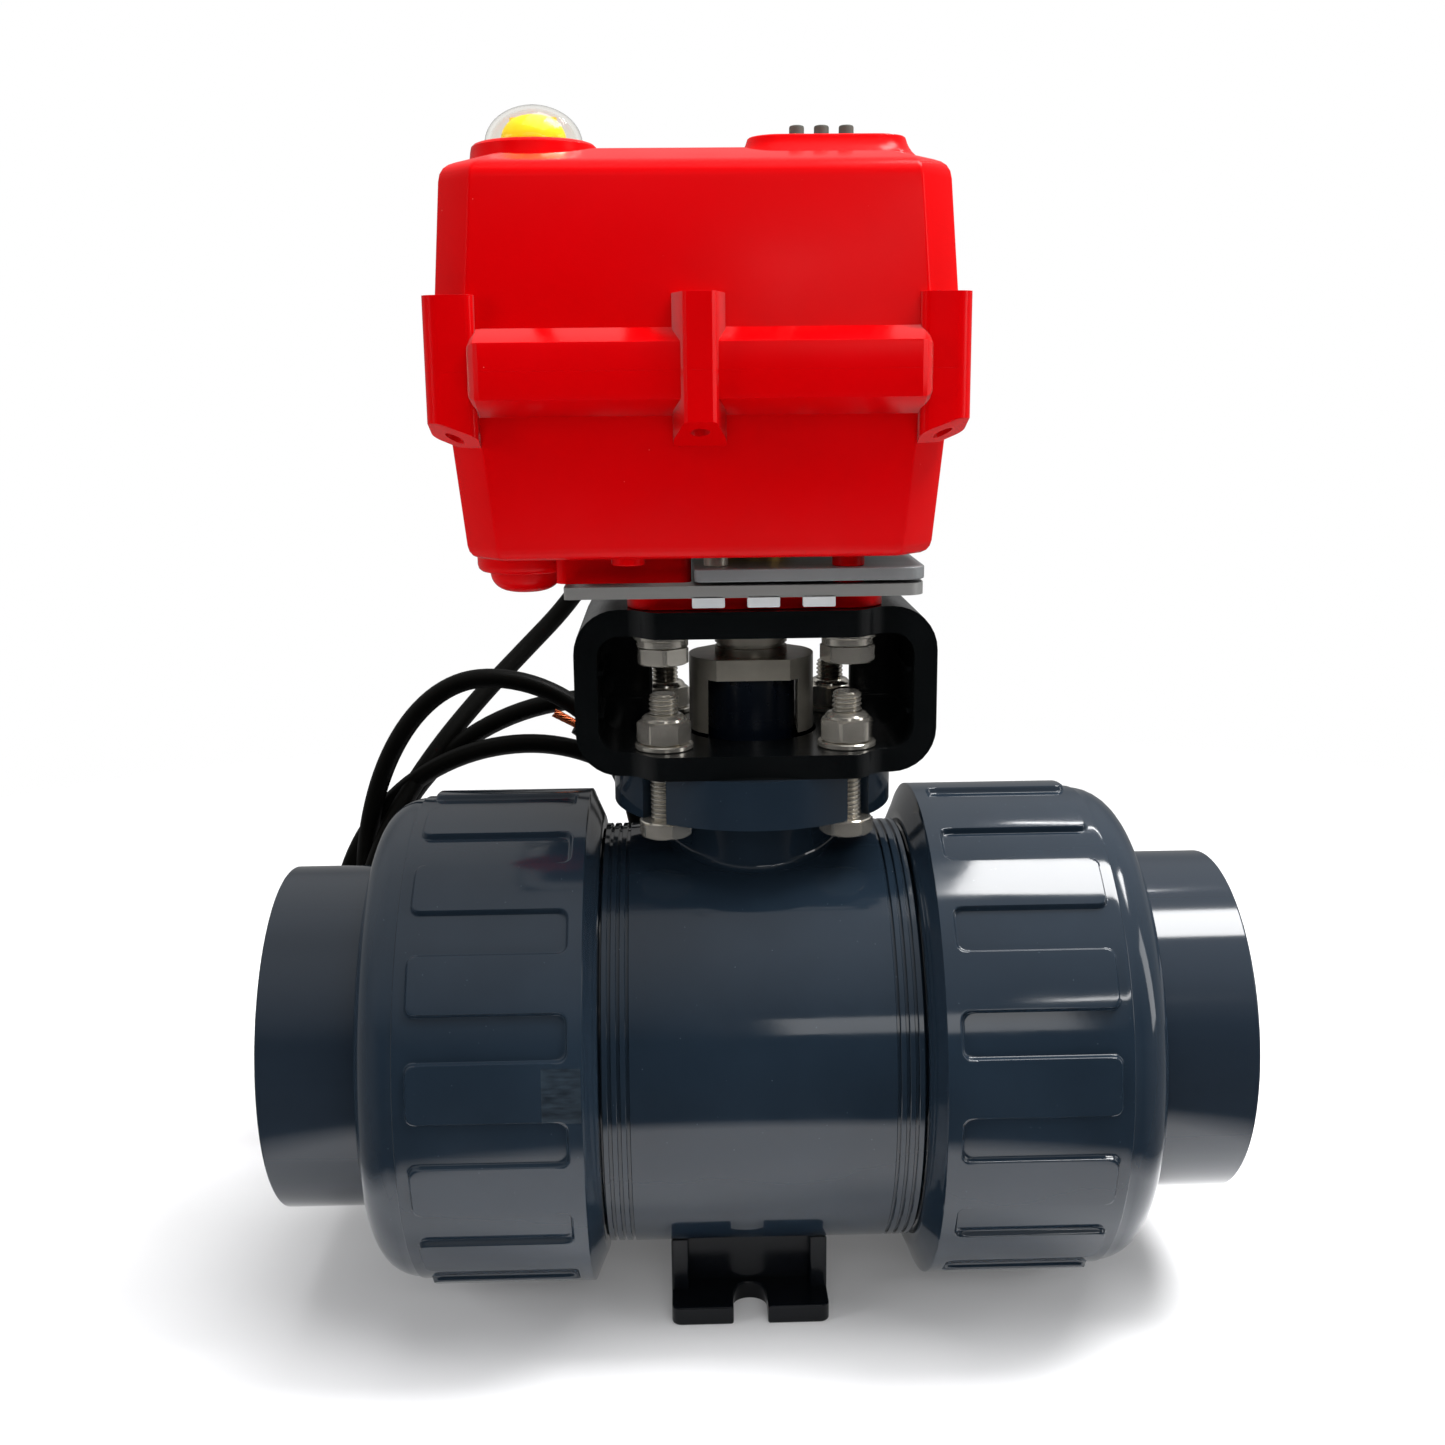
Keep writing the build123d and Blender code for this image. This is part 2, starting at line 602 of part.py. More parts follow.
# ---------------------------------------------------------------- coupling between stem and output shaft
with BuildPart() as stem_coupling:
    with BuildSketch(Plane.XY.offset(COUPLING_BOTTOM)):
        Circle(COUPLING_R)
        Rectangle(2 * COUPLING_R, 2 * COUPLING_FLAT_Y, mode=Mode.INTERSECT)
    extrude(amount=COUPLING_TOP - COUPLING_BOTTOM)
    with BuildSketch(Plane.XY.offset(COUPLING_BOTTOM)):
        Rectangle(2 * COUPLING_SLOT, 2 * COUPLING_R)
    extrude(amount=STEM_TOP - COUPLING_BOTTOM, mode=Mode.SUBTRACT)
    with BuildSketch(Plane.XY.offset(COUPLING_TOP)):
        Circle(COUPLING_BORE_R)
    extrude(amount=-COUPLING_BORE_DEPTH, mode=Mode.SUBTRACT)
save(stem_coupling.part, "stem_coupling")

# ---------------------------------------------------------------- mounting bracket
bracket_height = BRACKET_TOP - BRACKET_BOTTOM
window_height = BRACKET_CEILING - BRACKET_FLOOR
bracket_middle = (BRACKET_TOP + BRACKET_BOTTOM) / 2
window_middle = (BRACKET_CEILING + BRACKET_FLOOR) / 2
plate_edge = [(-40.0, 0), (-40.0, -BRACKET_SIDE_Y), (-BRACKET_BULGE[0], -BRACKET_SIDE_Y)]
plate_edge += [(-BRACKET_BULGE[1], -BRACKET_PLATE_Y), (BRACKET_BULGE[1], -BRACKET_PLATE_Y)]
plate_edge += [(BRACKET_BULGE[0], -BRACKET_SIDE_Y), (40.0, -BRACKET_SIDE_Y), (40.0, 0)]
with BuildPart() as mounting_bracket:
    with BuildSketch(Plane.XZ.offset(-BRACKET_SIDE_Y)):
        with Locations((0, bracket_middle)):
            RectangleRounded(2 * BRACKET_HALF_X, bracket_height, BRACKET_CORNER)
        with Locations((0, window_middle)):
            RectangleRounded(
                2 * (BRACKET_HALF_X - BRACKET_WALL), window_height, BRACKET_WINDOW_CORNER, mode=Mode.SUBTRACT
            )
    extrude(amount=2 * BRACKET_SIDE_Y)
    web_width = BRACKET_HALF_X - BRACKET_WALL / 2 - BRACKET_WEB_X
    web_middle = BRACKET_WEB_X + web_width / 2
    with BuildSketch(Plane.XZ.offset(-BRACKET_WEB / 2)):
        with Locations((-web_middle, window_middle), (web_middle, window_middle)):
            Rectangle(web_width, window_height + 2)
    extrude(amount=BRACKET_WEB)
    for plate_bottom, plate_top in ((BRACKET_BOTTOM, BRACKET_FLOOR), (BRACKET_CEILING, BRACKET_TOP)):
        with BuildSketch(Plane.XY.offset(plate_bottom)) as plate_sketch:
            with BuildLine():
                Polyline(plate_edge, close=True)
            make_face()
            bulge_corners = [v for v in plate_sketch.vertices() if abs(abs(v.X) - 28.5) < 5 and v.Y < -1]
            fillet(bulge_corners, 7.0)
            mirror(about=Plane.XZ)
        extrude(amount=plate_top - plate_bottom)
    with BuildSketch(Plane.XY.offset(BRACKET_BOTTOM)):
        Circle(BRACKET_HOLE_R)
        with Locations(*BOLT_SPOTS):
            Circle(BOLT_HOLE_R)
    extrude(amount=bracket_height, mode=Mode.SUBTRACT)
save(mounting_bracket.part, "mounting_bracket")

# ---------------------------------------------------------------- lower bolts, nuts and washers
head_top = FLANGE_BOTTOM - WASHER_THICK
nut_bottom = BRACKET_FLOOR + WASHER_THICK
for index, spot in enumerate(BOLT_SPOTS):
    with BuildPart() as flange_bolt:
        with BuildSketch(Plane.XY.offset(head_top - HEAD_HEIGHT)):
            with Locations(spot):
                RegularPolygon(HEX_AF / 2, 6, major_radius=False, rotation=15)
        extrude(amount=HEAD_HEIGHT)
        with BuildSketch(Plane.XY.offset(head_top - HEAD_HEIGHT)):
            with Locations(spot):
                Circle(BOLT_R)
        extrude(amount=LOWER_BOLT_TIP - head_top + HEAD_HEIGHT)
        chamfer(flange_bolt.faces().sort_by(Axis.Z)[-1].edges(), 0.8)
    save(flange_bolt.part, f"flange_bolt_{index + 1}")

with BuildPart() as flange_nuts:
    with BuildSketch(Plane.XY.offset(nut_bottom)):
        with Locations(*BOLT_SPOTS):
            RegularPolygon(HEX_AF / 2, 6, major_radius=False, rotation=10)
            Circle(BOLT_R, mode=Mode.SUBTRACT)
    extrude(amount=NUT_HEIGHT)
    with BuildSketch(Plane.XY.offset(nut_bottom + NUT_HEIGHT)):
        with Locations(*BOLT_SPOTS):
            Circle(HEX_AF / 2 - 0.4)
            Circle(BOLT_R, mode=Mode.SUBTRACT)
    extrude(amount=LOCK_COLLAR_HEIGHT)
save(flange_nuts.part, "flange_nuts")

# ---------------------------------------------------------------- upper bolts and washers
upper_head_top = BRACKET_CEILING - WASHER_THICK - SPRING_WASHER_THICK
for index, spot in enumerate(BOLT_SPOTS):
    with BuildPart() as bracket_bolt:
        with BuildSketch(Plane.XY.offset(upper_head_top - HEAD_HEIGHT)):
            with Locations(spot):
                RegularPolygon(HEX_AF / 2, 6, major_radius=False, rotation=20)
        extrude(amount=HEAD_HEIGHT)
        with BuildSketch(Plane.XY.offset(upper_head_top)):
            with Locations(spot):
                Circle(BOLT_R)
        extrude(amount=UPPER_PLATE_BOTTOM - upper_head_top)
    save(bracket_bolt.part, f"bracket_bolt_{index + 1}")

flat_washer_levels = (head_top, BRACKET_FLOOR, BRACKET_CEILING - WASHER_THICK)
with BuildPart() as bolt_washers:
    with BuildSketch(*[Plane.XY.offset(level) for level in flat_washer_levels]):
        with Locations(*BOLT_SPOTS):
            Circle(WASHER_R)
            Circle(BOLT_R + 0.2, mode=Mode.SUBTRACT)
    extrude(amount=WASHER_THICK)
    with BuildSketch(Plane.XY.offset(upper_head_top)):
        with Locations(*BOLT_SPOTS):
            Circle(HEX_AF / 2 - 0.3)
            Circle(BOLT_R + 0.2, mode=Mode.SUBTRACT)
    extrude(amount=SPRING_WASHER_THICK)
save(bolt_washers.part, "bolt_washers")

# ---------------------------------------------------------------- pad and plates under the housing
with BuildPart() as spacer_pad:
    with BuildSketch(Plane.XY.offset(BRACKET_TOP)):
        RectangleRounded(2 * PAD_HALF[0], 2 * PAD_HALF[1], 8.0)
        Circle(BRACKET_HOLE_R, mode=Mode.SUBTRACT)
        with Locations(*BOLT_SPOTS):
            Circle(BOLT_HOLE_R, mode=Mode.SUBTRACT)
    extrude(amount=LOWER_PLATE_BOTTOM - BRACKET_TOP)
save(spacer_pad.part, "spacer_pad")

with BuildPart() as lower_plate:
    with BuildSketch(Plane.XY.offset(LOWER_PLATE_BOTTOM)) as lower_sketch:
        with Locations(((LOWER_PLATE_X[0] + LOWER_PLATE_X[1]) / 2, 0)):
            Rectangle(LOWER_PLATE_X[1] - LOWER_PLATE_X[0], 2 * PLATE_HALF_Y)
        fillet(lower_sketch.vertices().group_by(Axis.X)[-1], PLATE_CORNER)
        Circle(PLATE_HOLE_R, mode=Mode.SUBTRACT)
        with Locations(*BOLT_SPOTS):
            Circle(BOLT_R, mode=Mode.SUBTRACT)
    extrude(amount=LOWER_PLATE_THICK)
    with BuildSketch(Plane.XY.offset(LOWER_PLATE_BOTTOM)):
        for side in (-1, 1):
            with Locations(*[(x, side * (PLATE_HALF_Y - TAB_THICK / 2)) for x in TAB_CENTRES]):
                Rectangle(TAB_WIDTH, TAB_THICK)
    extrude(amount=-TAB_DROP)
save(lower_plate.part, "lower_plate")

with BuildPart() as upper_plate:
    with BuildSketch(Plane.XY.offset(UPPER_PLATE_BOTTOM)) as upper_sketch:
        with Locations(((UPPER_PLATE_X[0] + UPPER_PLATE_X[1]) / 2, 0)):
            Rectangle(UPPER_PLATE_X[1] - UPPER_PLATE_X[0], 2 * PLATE_HALF_Y)
        fillet(upper_sketch.vertices().group_by(Axis.X)[-1], PLATE_CORNER)
        Circle(PLATE_HOLE_R, mode=Mode.SUBTRACT)
    extrude(amount=UPPER_PLATE_THICK)
save(upper_plate.part, "upper_plate")

lower_plate_top = LOWER_PLATE_BOTTOM + LOWER_PLATE_THICK
upper_plate_top = UPPER_PLATE_BOTTOM + UPPER_PLATE_THICK
with BuildPart() as plate_pillars:
    with BuildSketch(Plane.XY.offset(lower_plate_top)):
        with Locations(*PILLAR_SPOTS[:2]):
            Circle(PILLAR_R)
    extrude(amount=HOUSING_BOTTOM - lower_plate_top)
    with BuildSketch(Plane.XY.offset(upper_plate_top)):
        with Locations(*PILLAR_SPOTS[2:]):
            Circle(PILLAR_R)
    extrude(amount=HOUSING_BOTTOM - upper_plate_top)
    with BuildSketch(Plane.XY.offset(lower_plate_top)):
        with Locations(*PILLAR_SPOTS[2:]):
            Circle(PILLAR_R)
    extrude(amount=UPPER_PLATE_BOTTOM - lower_plate_top)
save(plate_pillars.part, "plate_pillars")

# ---------------------------------------------------------------- lower housing
band_length = BAND_X[1] - BAND_X[0]
lower_band = [(BAND_ROOT_Y, PARTING - BAND_HALF), (BAND_Y - 2.6, PARTING - BAND_FACE_HALF)]
lower_band += [(BAND_Y, PARTING)]
lower_band += [(BAND_ROOT_Y, PARTING)]
with BuildPart() as lower_housing:
    for level, half in ((HOUSING_BOTTOM, HOUSING_HALF_BOTTOM), (PARTING, HOUSING_HALF_PARTING)):
        with BuildSketch(Plane.XY.offset(level)):
            case_outline(half)
    loft()
    fillet(lower_housing.faces().sort_by(Axis.Z)[0].edges(), 3.5)
    for side in (-1, 1):
        with BuildSketch(Plane.YZ.offset(BAND_X[0])):
            with BuildLine():
                Polyline([(side * y, z) for y, z in lower_band], close=True)
            make_face()
        extrude(amount=band_length)
    for spot in boss_spots():
        with BuildSketch(Plane.XY.offset(PARTING)):
            with Locations(spot):
                RectangleRounded(BOSS_SIZE, BOSS_SIZE, 2.5)
        extrude(amount=BOSS_BOTTOM - PARTING)
        with BuildSketch(Plane.XY.offset(BOSS_BOTTOM)):
            with Locations(spot):
                RectangleRounded(BOSS_SIZE, BOSS_SIZE, 2.5)
        with BuildSketch(Plane.XY.offset(BOSS_POINT)):
            with Locations((spot[0], spot[1] - math.copysign(BOSS_SIZE / 2, spot[1]))):
                RectangleRounded(BOSS_SIZE - 1, 4.0, 1.5)
        loft()
    with BuildSketch(Plane.XY.offset(BLOCK_BOTTOM)):
        with Locations(((BLOCK_X[0] + BLOCK_X[1]) / 2, 0)):
            RectangleRounded(BLOCK_X[1] - BLOCK_X[0], 2 * BLOCK_HALF_Y, 3.0)
    extrude(amount=HOUSING_BOTTOM + 1.0 - BLOCK_BOTTOM)
    for level, half in ((HOUSING_BOTTOM + CASE_WALL, HOUSING_HALF_BOTTOM), (PARTING, HOUSING_HALF_PARTING)):
        with BuildSketch(Plane.XY.offset(level)):
            case_outline(half, -CASE_WALL)
    loft(mode=Mode.SUBTRACT)
    with BuildSketch(Plane.XY.offset(PARTING)):
        case_outline(HOUSING_HALF_PARTING, -GASKET_INSET)
        case_outline(HOUSING_HALF_PARTING, -GASKET_INSET - GASKET_WIDTH, Mode.SUBTRACT)
    extrude(amount=-GASKET_THICK, mode=Mode.SUBTRACT)
    with BuildSketch(Plane.XY.offset(BLOCK_BOTTOM)):
        Circle(BUSH_R)
    extrude(amount=HOUSING_BOTTOM + CASE_WALL - BLOCK_BOTTOM, mode=Mode.SUBTRACT)
    with BuildSketch(Plane.XY.offset(BOSS_POINT - 1)):
        with Locations(*boss_spots()):
            Circle(SCREW_HOLE_R)
    extrude(amount=PARTING - BOSS_POINT + 1, mode=Mode.SUBTRACT)
    with BuildSketch(Plane.XZ.offset(-HOUSING_HALF_PARTING[1] - 1)):
        with Locations(GLAND_SPOT):
            Circle(GLAND_CAP_R - 2.6)
    extrude(amount=9.0, mode=Mode.SUBTRACT)
save(lower_housing.part, "lower_housing")

# ---------------------------------------------------------------- gasket, cover and screws
with BuildPart() as cover_gasket:
    with BuildSketch(Plane.XY.offset(PARTING - GASKET_THICK)):
        case_outline(HOUSING_HALF_PARTING, -GASKET_INSET)
        case_outline(HOUSING_HALF_PARTING, -GASKET_INSET - GASKET_WIDTH, Mode.SUBTRACT)
    extrude(amount=GASKET_THICK)
save(cover_gasket.part, "cover_gasket")

upper_band = [(y, 2 * PARTING - z) for y, z in lower_band]
crown_half = (COVER_HALF_EDGE[0] - COVER_CROWN_INSET, COVER_HALF_EDGE[1] - COVER_CROWN_INSET)
with BuildPart() as upper_cover:
    for level, half in ((PARTING, COVER_HALF_PARTING), (COVER_EDGE, COVER_HALF_EDGE)):
        with BuildSketch(Plane.XY.offset(level)):
            case_outline(half)
    loft()
    for level, half in ((COVER_EDGE, COVER_HALF_EDGE), (COVER_TOP, crown_half)):
        with BuildSketch(Plane.XY.offset(level)):
            case_outline(half)
    loft()
    for side in (-1, 1):
        with BuildSketch(Plane.YZ.offset(BAND_X[0])):
            with BuildLine():
                Polyline([(side * y, z) for y, z in upper_band], close=True)
            make_face()
        extrude(amount=band_length)
    with BuildSketch(Plane.XY.offset(PARTING)):
        with Locations(*boss_spots()):
            RectangleRounded(BOSS_SIZE, BOSS_SIZE, 2.5)
    extrude(amount=BOSS_TOP - PARTING)
    for level, half in ((PARTING, COVER_HALF_PARTING), (COVER_EDGE - CASE_WALL, COVER_HALF_EDGE)):
        with BuildSketch(Plane.XY.offset(level)):
            case_outline(half, -CASE_WALL)
    loft(mode=Mode.SUBTRACT)
    with BuildSketch(Plane.XY.offset(COVER_EDGE - CASE_WALL)):
        with Locations((PAD_X, BUTTON_Y)):
            RectangleRounded(*PAD_SIZE, PAD_CORNER)
        with Locations((INDICATOR_X, INDICATOR_Y)):
            Circle(DOME_RING_R + 1.5)
    with BuildSketch(Plane.XY.offset(COVER_TOP)):
        with Locations((PAD_X, BUTTON_Y)):
            RectangleRounded(PAD_SIZE[0] - 2, PAD_SIZE[1] - 2, PAD_CORNER)
    extrude(amount=PAD_TOP - COVER_TOP)
    with BuildSketch(Plane.XY.offset(COVER_EDGE - CASE_WALL)):
        with Locations((INDICATOR_X, INDICATOR_Y)):
            Circle(DOME_RING_R)
    extrude(amount=DOME_RING_TOP - COVER_EDGE + CASE_WALL)
    with BuildSketch(Plane.XY.offset(COVER_EDGE - 2 * CASE_WALL)):
        with Locations((INDICATOR_X, INDICATOR_Y)):
            Circle(DOME_HOLE_R)
    extrude(amount=DOME_TOP - COVER_EDGE, mode=Mode.SUBTRACT)
    with BuildSketch(Plane.XY.offset(DOME_RING_TOP - DOME_SEAT_DEPTH)):
        with Locations((INDICATOR_X, INDICATOR_Y)):
            Circle(DOME_R)
    extrude(amount=DOME_SEAT_DEPTH, mode=Mode.SUBTRACT)
    with BuildSketch(Plane.XY.offset(COVER_EDGE - 2 * CASE_WALL)):
        with Locations(*[(x, BUTTON_Y) for x in BUTTON_XS]):
            Circle(BUTTON_HOLE_R)
    extrude(amount=PAD_TOP - COVER_EDGE + 2 * CASE_WALL, mode=Mode.SUBTRACT)
    with BuildSketch(Plane.XY.offset(COVER_EDGE - CASE_WALL)):
        with Locations(*[(x, BUTTON_Y) for x in BUTTON_XS]):
            Circle(BUTTON_FLANGE_R + 0.3)
    extrude(amount=BUTTON_SHOULDER + BUTTON_GAP - COVER_EDGE + CASE_WALL, mode=Mode.SUBTRACT)
    with BuildSketch(Plane.XY.offset(PARTING)):
        with Locations(*boss_spots()):
            Circle(SCREW_R)
    extrude(amount=BOSS_TOP - PARTING, mode=Mode.SUBTRACT)
    with BuildSketch(Plane.XY.offset(SCREW_HEAD_SEAT)):
        with Locations(*boss_spots()):
            Circle(SCREW_HEAD_HOLE_R)
    extrude(amount=BOSS_TOP - SCREW_HEAD_SEAT, mode=Mode.SUBTRACT)
save(upper_cover.part, "upper_cover")

with BuildPart() as cover_screws:
    with BuildSketch(Plane.XY.offset(SCREW_TIP)):
        with Locations(*boss_spots()):
            Circle(SCREW_R)
    extrude(amount=SCREW_HEAD_SEAT - SCREW_TIP)
    with BuildSketch(Plane.XY.offset(SCREW_HEAD_SEAT)):
        with Locations(*boss_spots()):
            Circle(SCREW_HEAD_R)
    extrude(amount=SCREW_HEAD_HEIGHT)
    with BuildSketch(Plane.XY.offset(SCREW_HEAD_SEAT + SCREW_HEAD_HEIGHT)):
        with Locations(*boss_spots()):
            RegularPolygon(SCREW_KEY_AF / 2, 6, major_radius=False)
    extrude(amount=-SCREW_KEY_DEPTH, mode=Mode.SUBTRACT)
save(cover_screws.part, "cover_screws")

# ---------------------------------------------------------------- position indicator and its dome
INDICATOR_PLANE = Plane(origin=(INDICATOR_X, INDICATOR_Y, 0), x_dir=(1, 0, 0), z_dir=(0, -1, 0))
indicator_axis = Axis((INDICATOR_X, INDICATOR_Y, 0), (0, 0, 1))
dome_base = DOME_RING_TOP - DOME_SEAT_DEPTH
dome_inner_r = DOME_R - DOME_WALL
with BuildPart() as indicator_dome:
    with BuildSketch(INDICATOR_PLANE):
        with BuildLine():
            TangentArc((0, DOME_TOP), (DOME_R, DOME_RING_TOP), tangent=(1, 0))
            TangentArc((0, DOME_TOP - DOME_WALL), (dome_inner_r, DOME_RING_TOP), tangent=(1, 0))
            Polyline(
                (DOME_R, DOME_RING_TOP),
                (DOME_R, dome_base),
                (dome_inner_r, dome_base),
                (dome_inner_r, DOME_RING_TOP),
            )
            Line((0, DOME_TOP), (0, DOME_TOP - DOME_WALL))
        make_face()
    revolve(axis=indicator_axis)
save(indicator_dome.part, "indicator_dome")

indicator_base = INDICATOR_TOP - INDICATOR_HEIGHT
with BuildPart() as indicator_knob:
    with BuildSketch(INDICATOR_PLANE):
        with BuildLine():
            Polyline(
                (INDICATOR_SHAFT_R, indicator_base),
                (INDICATOR_R, indicator_base),
                (INDICATOR_R, INDICATOR_TOP - 4),
                (INDICATOR_R - 3.4, INDICATOR_TOP - 0.7),
                (0, INDICATOR_TOP),
                (0, indicator_base + 4),
                (INDICATOR_SHAFT_R, indicator_base + 4),
                close=True,
            )
        make_face()
    revolve(axis=indicator_axis)
save(indicator_knob.part, "indicator_knob")

# ---------------------------------------------------------------- buttons
for index, button_x in enumerate(BUTTON_XS):
    with BuildPart() as button:
        with BuildSketch(Plane.XY.offset(BUTTON_SHOULDER)):
            with Locations((button_x, BUTTON_Y)):
                Circle(BUTTON_R)
        extrude(amount=BUTTON_TOP - BUTTON_SHOULDER)
        fillet(button.faces().sort_by(Axis.Z)[-1].edges(), 0.5)
        with BuildSketch(Plane.XY.offset(BUTTON_SHOULDER - BUTTON_FLANGE_THICK)):
            with Locations((button_x, BUTTON_Y)):
                Circle(BUTTON_FLANGE_R)
        extrude(amount=BUTTON_FLANGE_THICK)
        with BuildSketch(Plane.XY.offset(BUTTON_STEM_BOTTOM)):
            with Locations((button_x, BUTTON_Y)):
                Circle(BUTTON_STEM_R)
        extrude(amount=BUTTON_SHOULDER - BUTTON_STEM_BOTTOM)
    save(button.part, f"button_{index + 1}")

# ---------------------------------------------------------------- conduit plug and cable gland
plug_axis = Axis((*PLUG_SPOT, 0), (0, 0, 1))
with BuildPart() as conduit_plug:
    with BuildSketch(Plane(origin=(*PLUG_SPOT, 0), x_dir=(1, 0, 0), z_dir=(0, -1, 0))):
        with BuildLine():
            Polyline(
                (0, HOUSING_BOTTOM),
                (PLUG_FLANGE_R, HOUSING_BOTTOM),
                (PLUG_FLANGE_R - 1.0, PLUG_FLANGE_BOTTOM),
                (PLUG_CAP_R, PLUG_FLANGE_BOTTOM),
            )
            TangentArc((0, PLUG_BOTTOM), (PLUG_CAP_R, PLUG_FLANGE_BOTTOM), tangent=(1, 0))
            Line((0, PLUG_BOTTOM), (0, HOUSING_BOTTOM))
        make_face()
    revolve(axis=plug_axis)
    with BuildSketch(Plane.XY.offset(BLOCK_BOTTOM)):
        with Locations(((BLOCK_X[0] + BLOCK_X[1]) / 2, 0)):
            RectangleRounded(BLOCK_X[1] - BLOCK_X[0], 2 * BLOCK_HALF_Y, 3.0)
    extrude(amount=HOUSING_BOTTOM - BLOCK_BOTTOM, mode=Mode.SUBTRACT)
save(conduit_plug.part, "conduit_plug")

gland_x, gland_z = GLAND_SPOT
gland_axis = Axis((gland_x, 0, gland_z), (0, 1, 0))
gland_plane = Plane(origin=(gland_x, 0, gland_z), x_dir=(0, 1, 0), z_dir=(1, 0, 0))
with BuildPart() as cable_gland:
    with BuildSketch(Plane.XZ.offset(-GLAND_FACE_Y - GLAND_HEX_DEPTH)):
        with Locations(GLAND_SPOT):
            RegularPolygon(GLAND_HEX_AF / 2, 6, major_radius=False)
    extrude(amount=GLAND_HEX_DEPTH + GLAND_PAD_DEPTH)
    with BuildSketch(gland_plane):
        with BuildLine():
            Polyline(
                (GLAND_FACE_Y, 0),
                (GLAND_TIP_Y, 0),
                (GLAND_TIP_Y, CABLE_R + 1.2),
                (GLAND_TIP_Y - 4, GLAND_CAP_R - 0.6),
                (GLAND_TIP_Y - 6, GLAND_CAP_R),
                (GLAND_FACE_Y, GLAND_CAP_R),
                close=True,
            )
        make_face()
    revolve(axis=gland_axis)
    with BuildSketch(Plane.XZ.offset(-GLAND_INNER_Y)):
        with Locations(GLAND_SPOT):
            Circle(GLAND_THREAD_R)
    extrude(amount=GLAND_INNER_Y - GLAND_FACE_Y)
save(cable_gland.part, "cable_gland")

# ---------------------------------------------------------------- gear train
output_spot = (0.0, 0.0)
second_spot = polar(output_spot, MAIN_MODULE * (OUTPUT_TEETH + PINION_TEETH) / 2, SECOND_WHEEL_BEARING)
first_spot = polar(second_spot, FINE_MODULE * (SECOND_WHEEL_TEETH + PINION_TEETH) / 2, FIRST_WHEEL_BEARING)
motor_spot = polar(first_spot, FINE_MODULE * (FIRST_WHEEL_TEETH + PINION_TEETH) / 2, MOTOR_BEARING)
indicator_spot = (INDICATOR_X, INDICATOR_Y)
idler_reach = INDICATOR_MODULE * (INDICATOR_TEETH + INDICATOR_IDLER_TEETH) / 2
indicator_bearing = bearing_between(output_spot, indicator_spot)
indicator_distance = math.hypot(INDICATOR_X, INDICATOR_Y)
idler_lean = math.degrees(math.acos(indicator_distance / 2 / idler_reach))
idler_bearing = indicator_bearing - idler_lean
idler_spot = polar(output_spot, idler_reach, idler_bearing)

second_phase = meshing_phase(OUTPUT_TEETH, 0.0, PINION_TEETH, SECOND_WHEEL_BEARING)
first_phase = meshing_phase(SECOND_WHEEL_TEETH, second_phase, PINION_TEETH, FIRST_WHEEL_BEARING)
motor_phase = meshing_phase(FIRST_WHEEL_TEETH, first_phase, PINION_TEETH, MOTOR_BEARING)
idler_phase = meshing_phase(INDICATOR_TEETH, 0.0, INDICATOR_IDLER_TEETH, idler_bearing)
indicator_phase = meshing_phase(
    INDICATOR_IDLER_TEETH, idler_phase, INDICATOR_TEETH, bearing_between(idler_spot, indicator_spot)
)


def gear_sketch(spot, teeth, module, phase):
    """Add a gear's outline at a spot, in the current sketch."""
    points = gear_points(teeth, module, phase)
    Polygon(*[(spot[0] + x, spot[1] + y) for x, y in points], align=None)


def level_height(level):
    """Thickness between two levels."""
    return level[1] - level[0]


with BuildPart() as output_gear:
    with BuildSketch(Plane.XY.offset(OUTPUT_GEAR_LEVEL[0])):
        gear_sketch(output_spot, OUTPUT_TEETH, MAIN_MODULE, 0.0)
        Circle(SHAFT_R, mode=Mode.SUBTRACT)
    extrude(amount=level_height(OUTPUT_GEAR_LEVEL))
save(output_gear.part, "output_gear")

with BuildPart() as second_wheel:
    with BuildSketch(Plane.XY.offset(SECOND_WHEEL_LEVEL[0])):
        gear_sketch(second_spot, SECOND_WHEEL_TEETH, FINE_MODULE, second_phase)
    extrude(amount=level_height(SECOND_WHEEL_LEVEL))
    with BuildSketch(Plane.XY.offset(OUTPUT_GEAR_LEVEL[0])):
        gear_sketch(second_spot, PINION_TEETH, MAIN_MODULE, second_phase)
    extrude(amount=SECOND_WHEEL_LEVEL[0] - OUTPUT_GEAR_LEVEL[0])
    with BuildSketch(Plane.XY.offset(OUTPUT_GEAR_LEVEL[0])):
        with Locations(second_spot):
            Circle(GEAR_AXLE_R + AXLE_CLEARANCE)
    extrude(amount=SECOND_WHEEL_LEVEL[1] - OUTPUT_GEAR_LEVEL[0], mode=Mode.SUBTRACT)
save(second_wheel.part, "second_wheel")

with BuildPart() as first_wheel:
    with BuildSketch(Plane.XY.offset(FIRST_WHEEL_LEVEL[0])):
        gear_sketch(first_spot, FIRST_WHEEL_TEETH, FINE_MODULE, first_phase)
    extrude(amount=level_height(FIRST_WHEEL_LEVEL))
    with BuildSketch(Plane.XY.offset(SECOND_WHEEL_LEVEL[0])):
        gear_sketch(first_spot, PINION_TEETH, FINE_MODULE, first_phase)
    extrude(amount=FIRST_WHEEL_LEVEL[0] - SECOND_WHEEL_LEVEL[0])
    with BuildSketch(Plane.XY.offset(SECOND_WHEEL_LEVEL[0])):
        with Locations(first_spot):
            Circle(GEAR_AXLE_R + AXLE_CLEARANCE)
    extrude(amount=FIRST_WHEEL_LEVEL[1] - SECOND_WHEEL_LEVEL[0], mode=Mode.SUBTRACT)
save(first_wheel.part, "first_wheel")

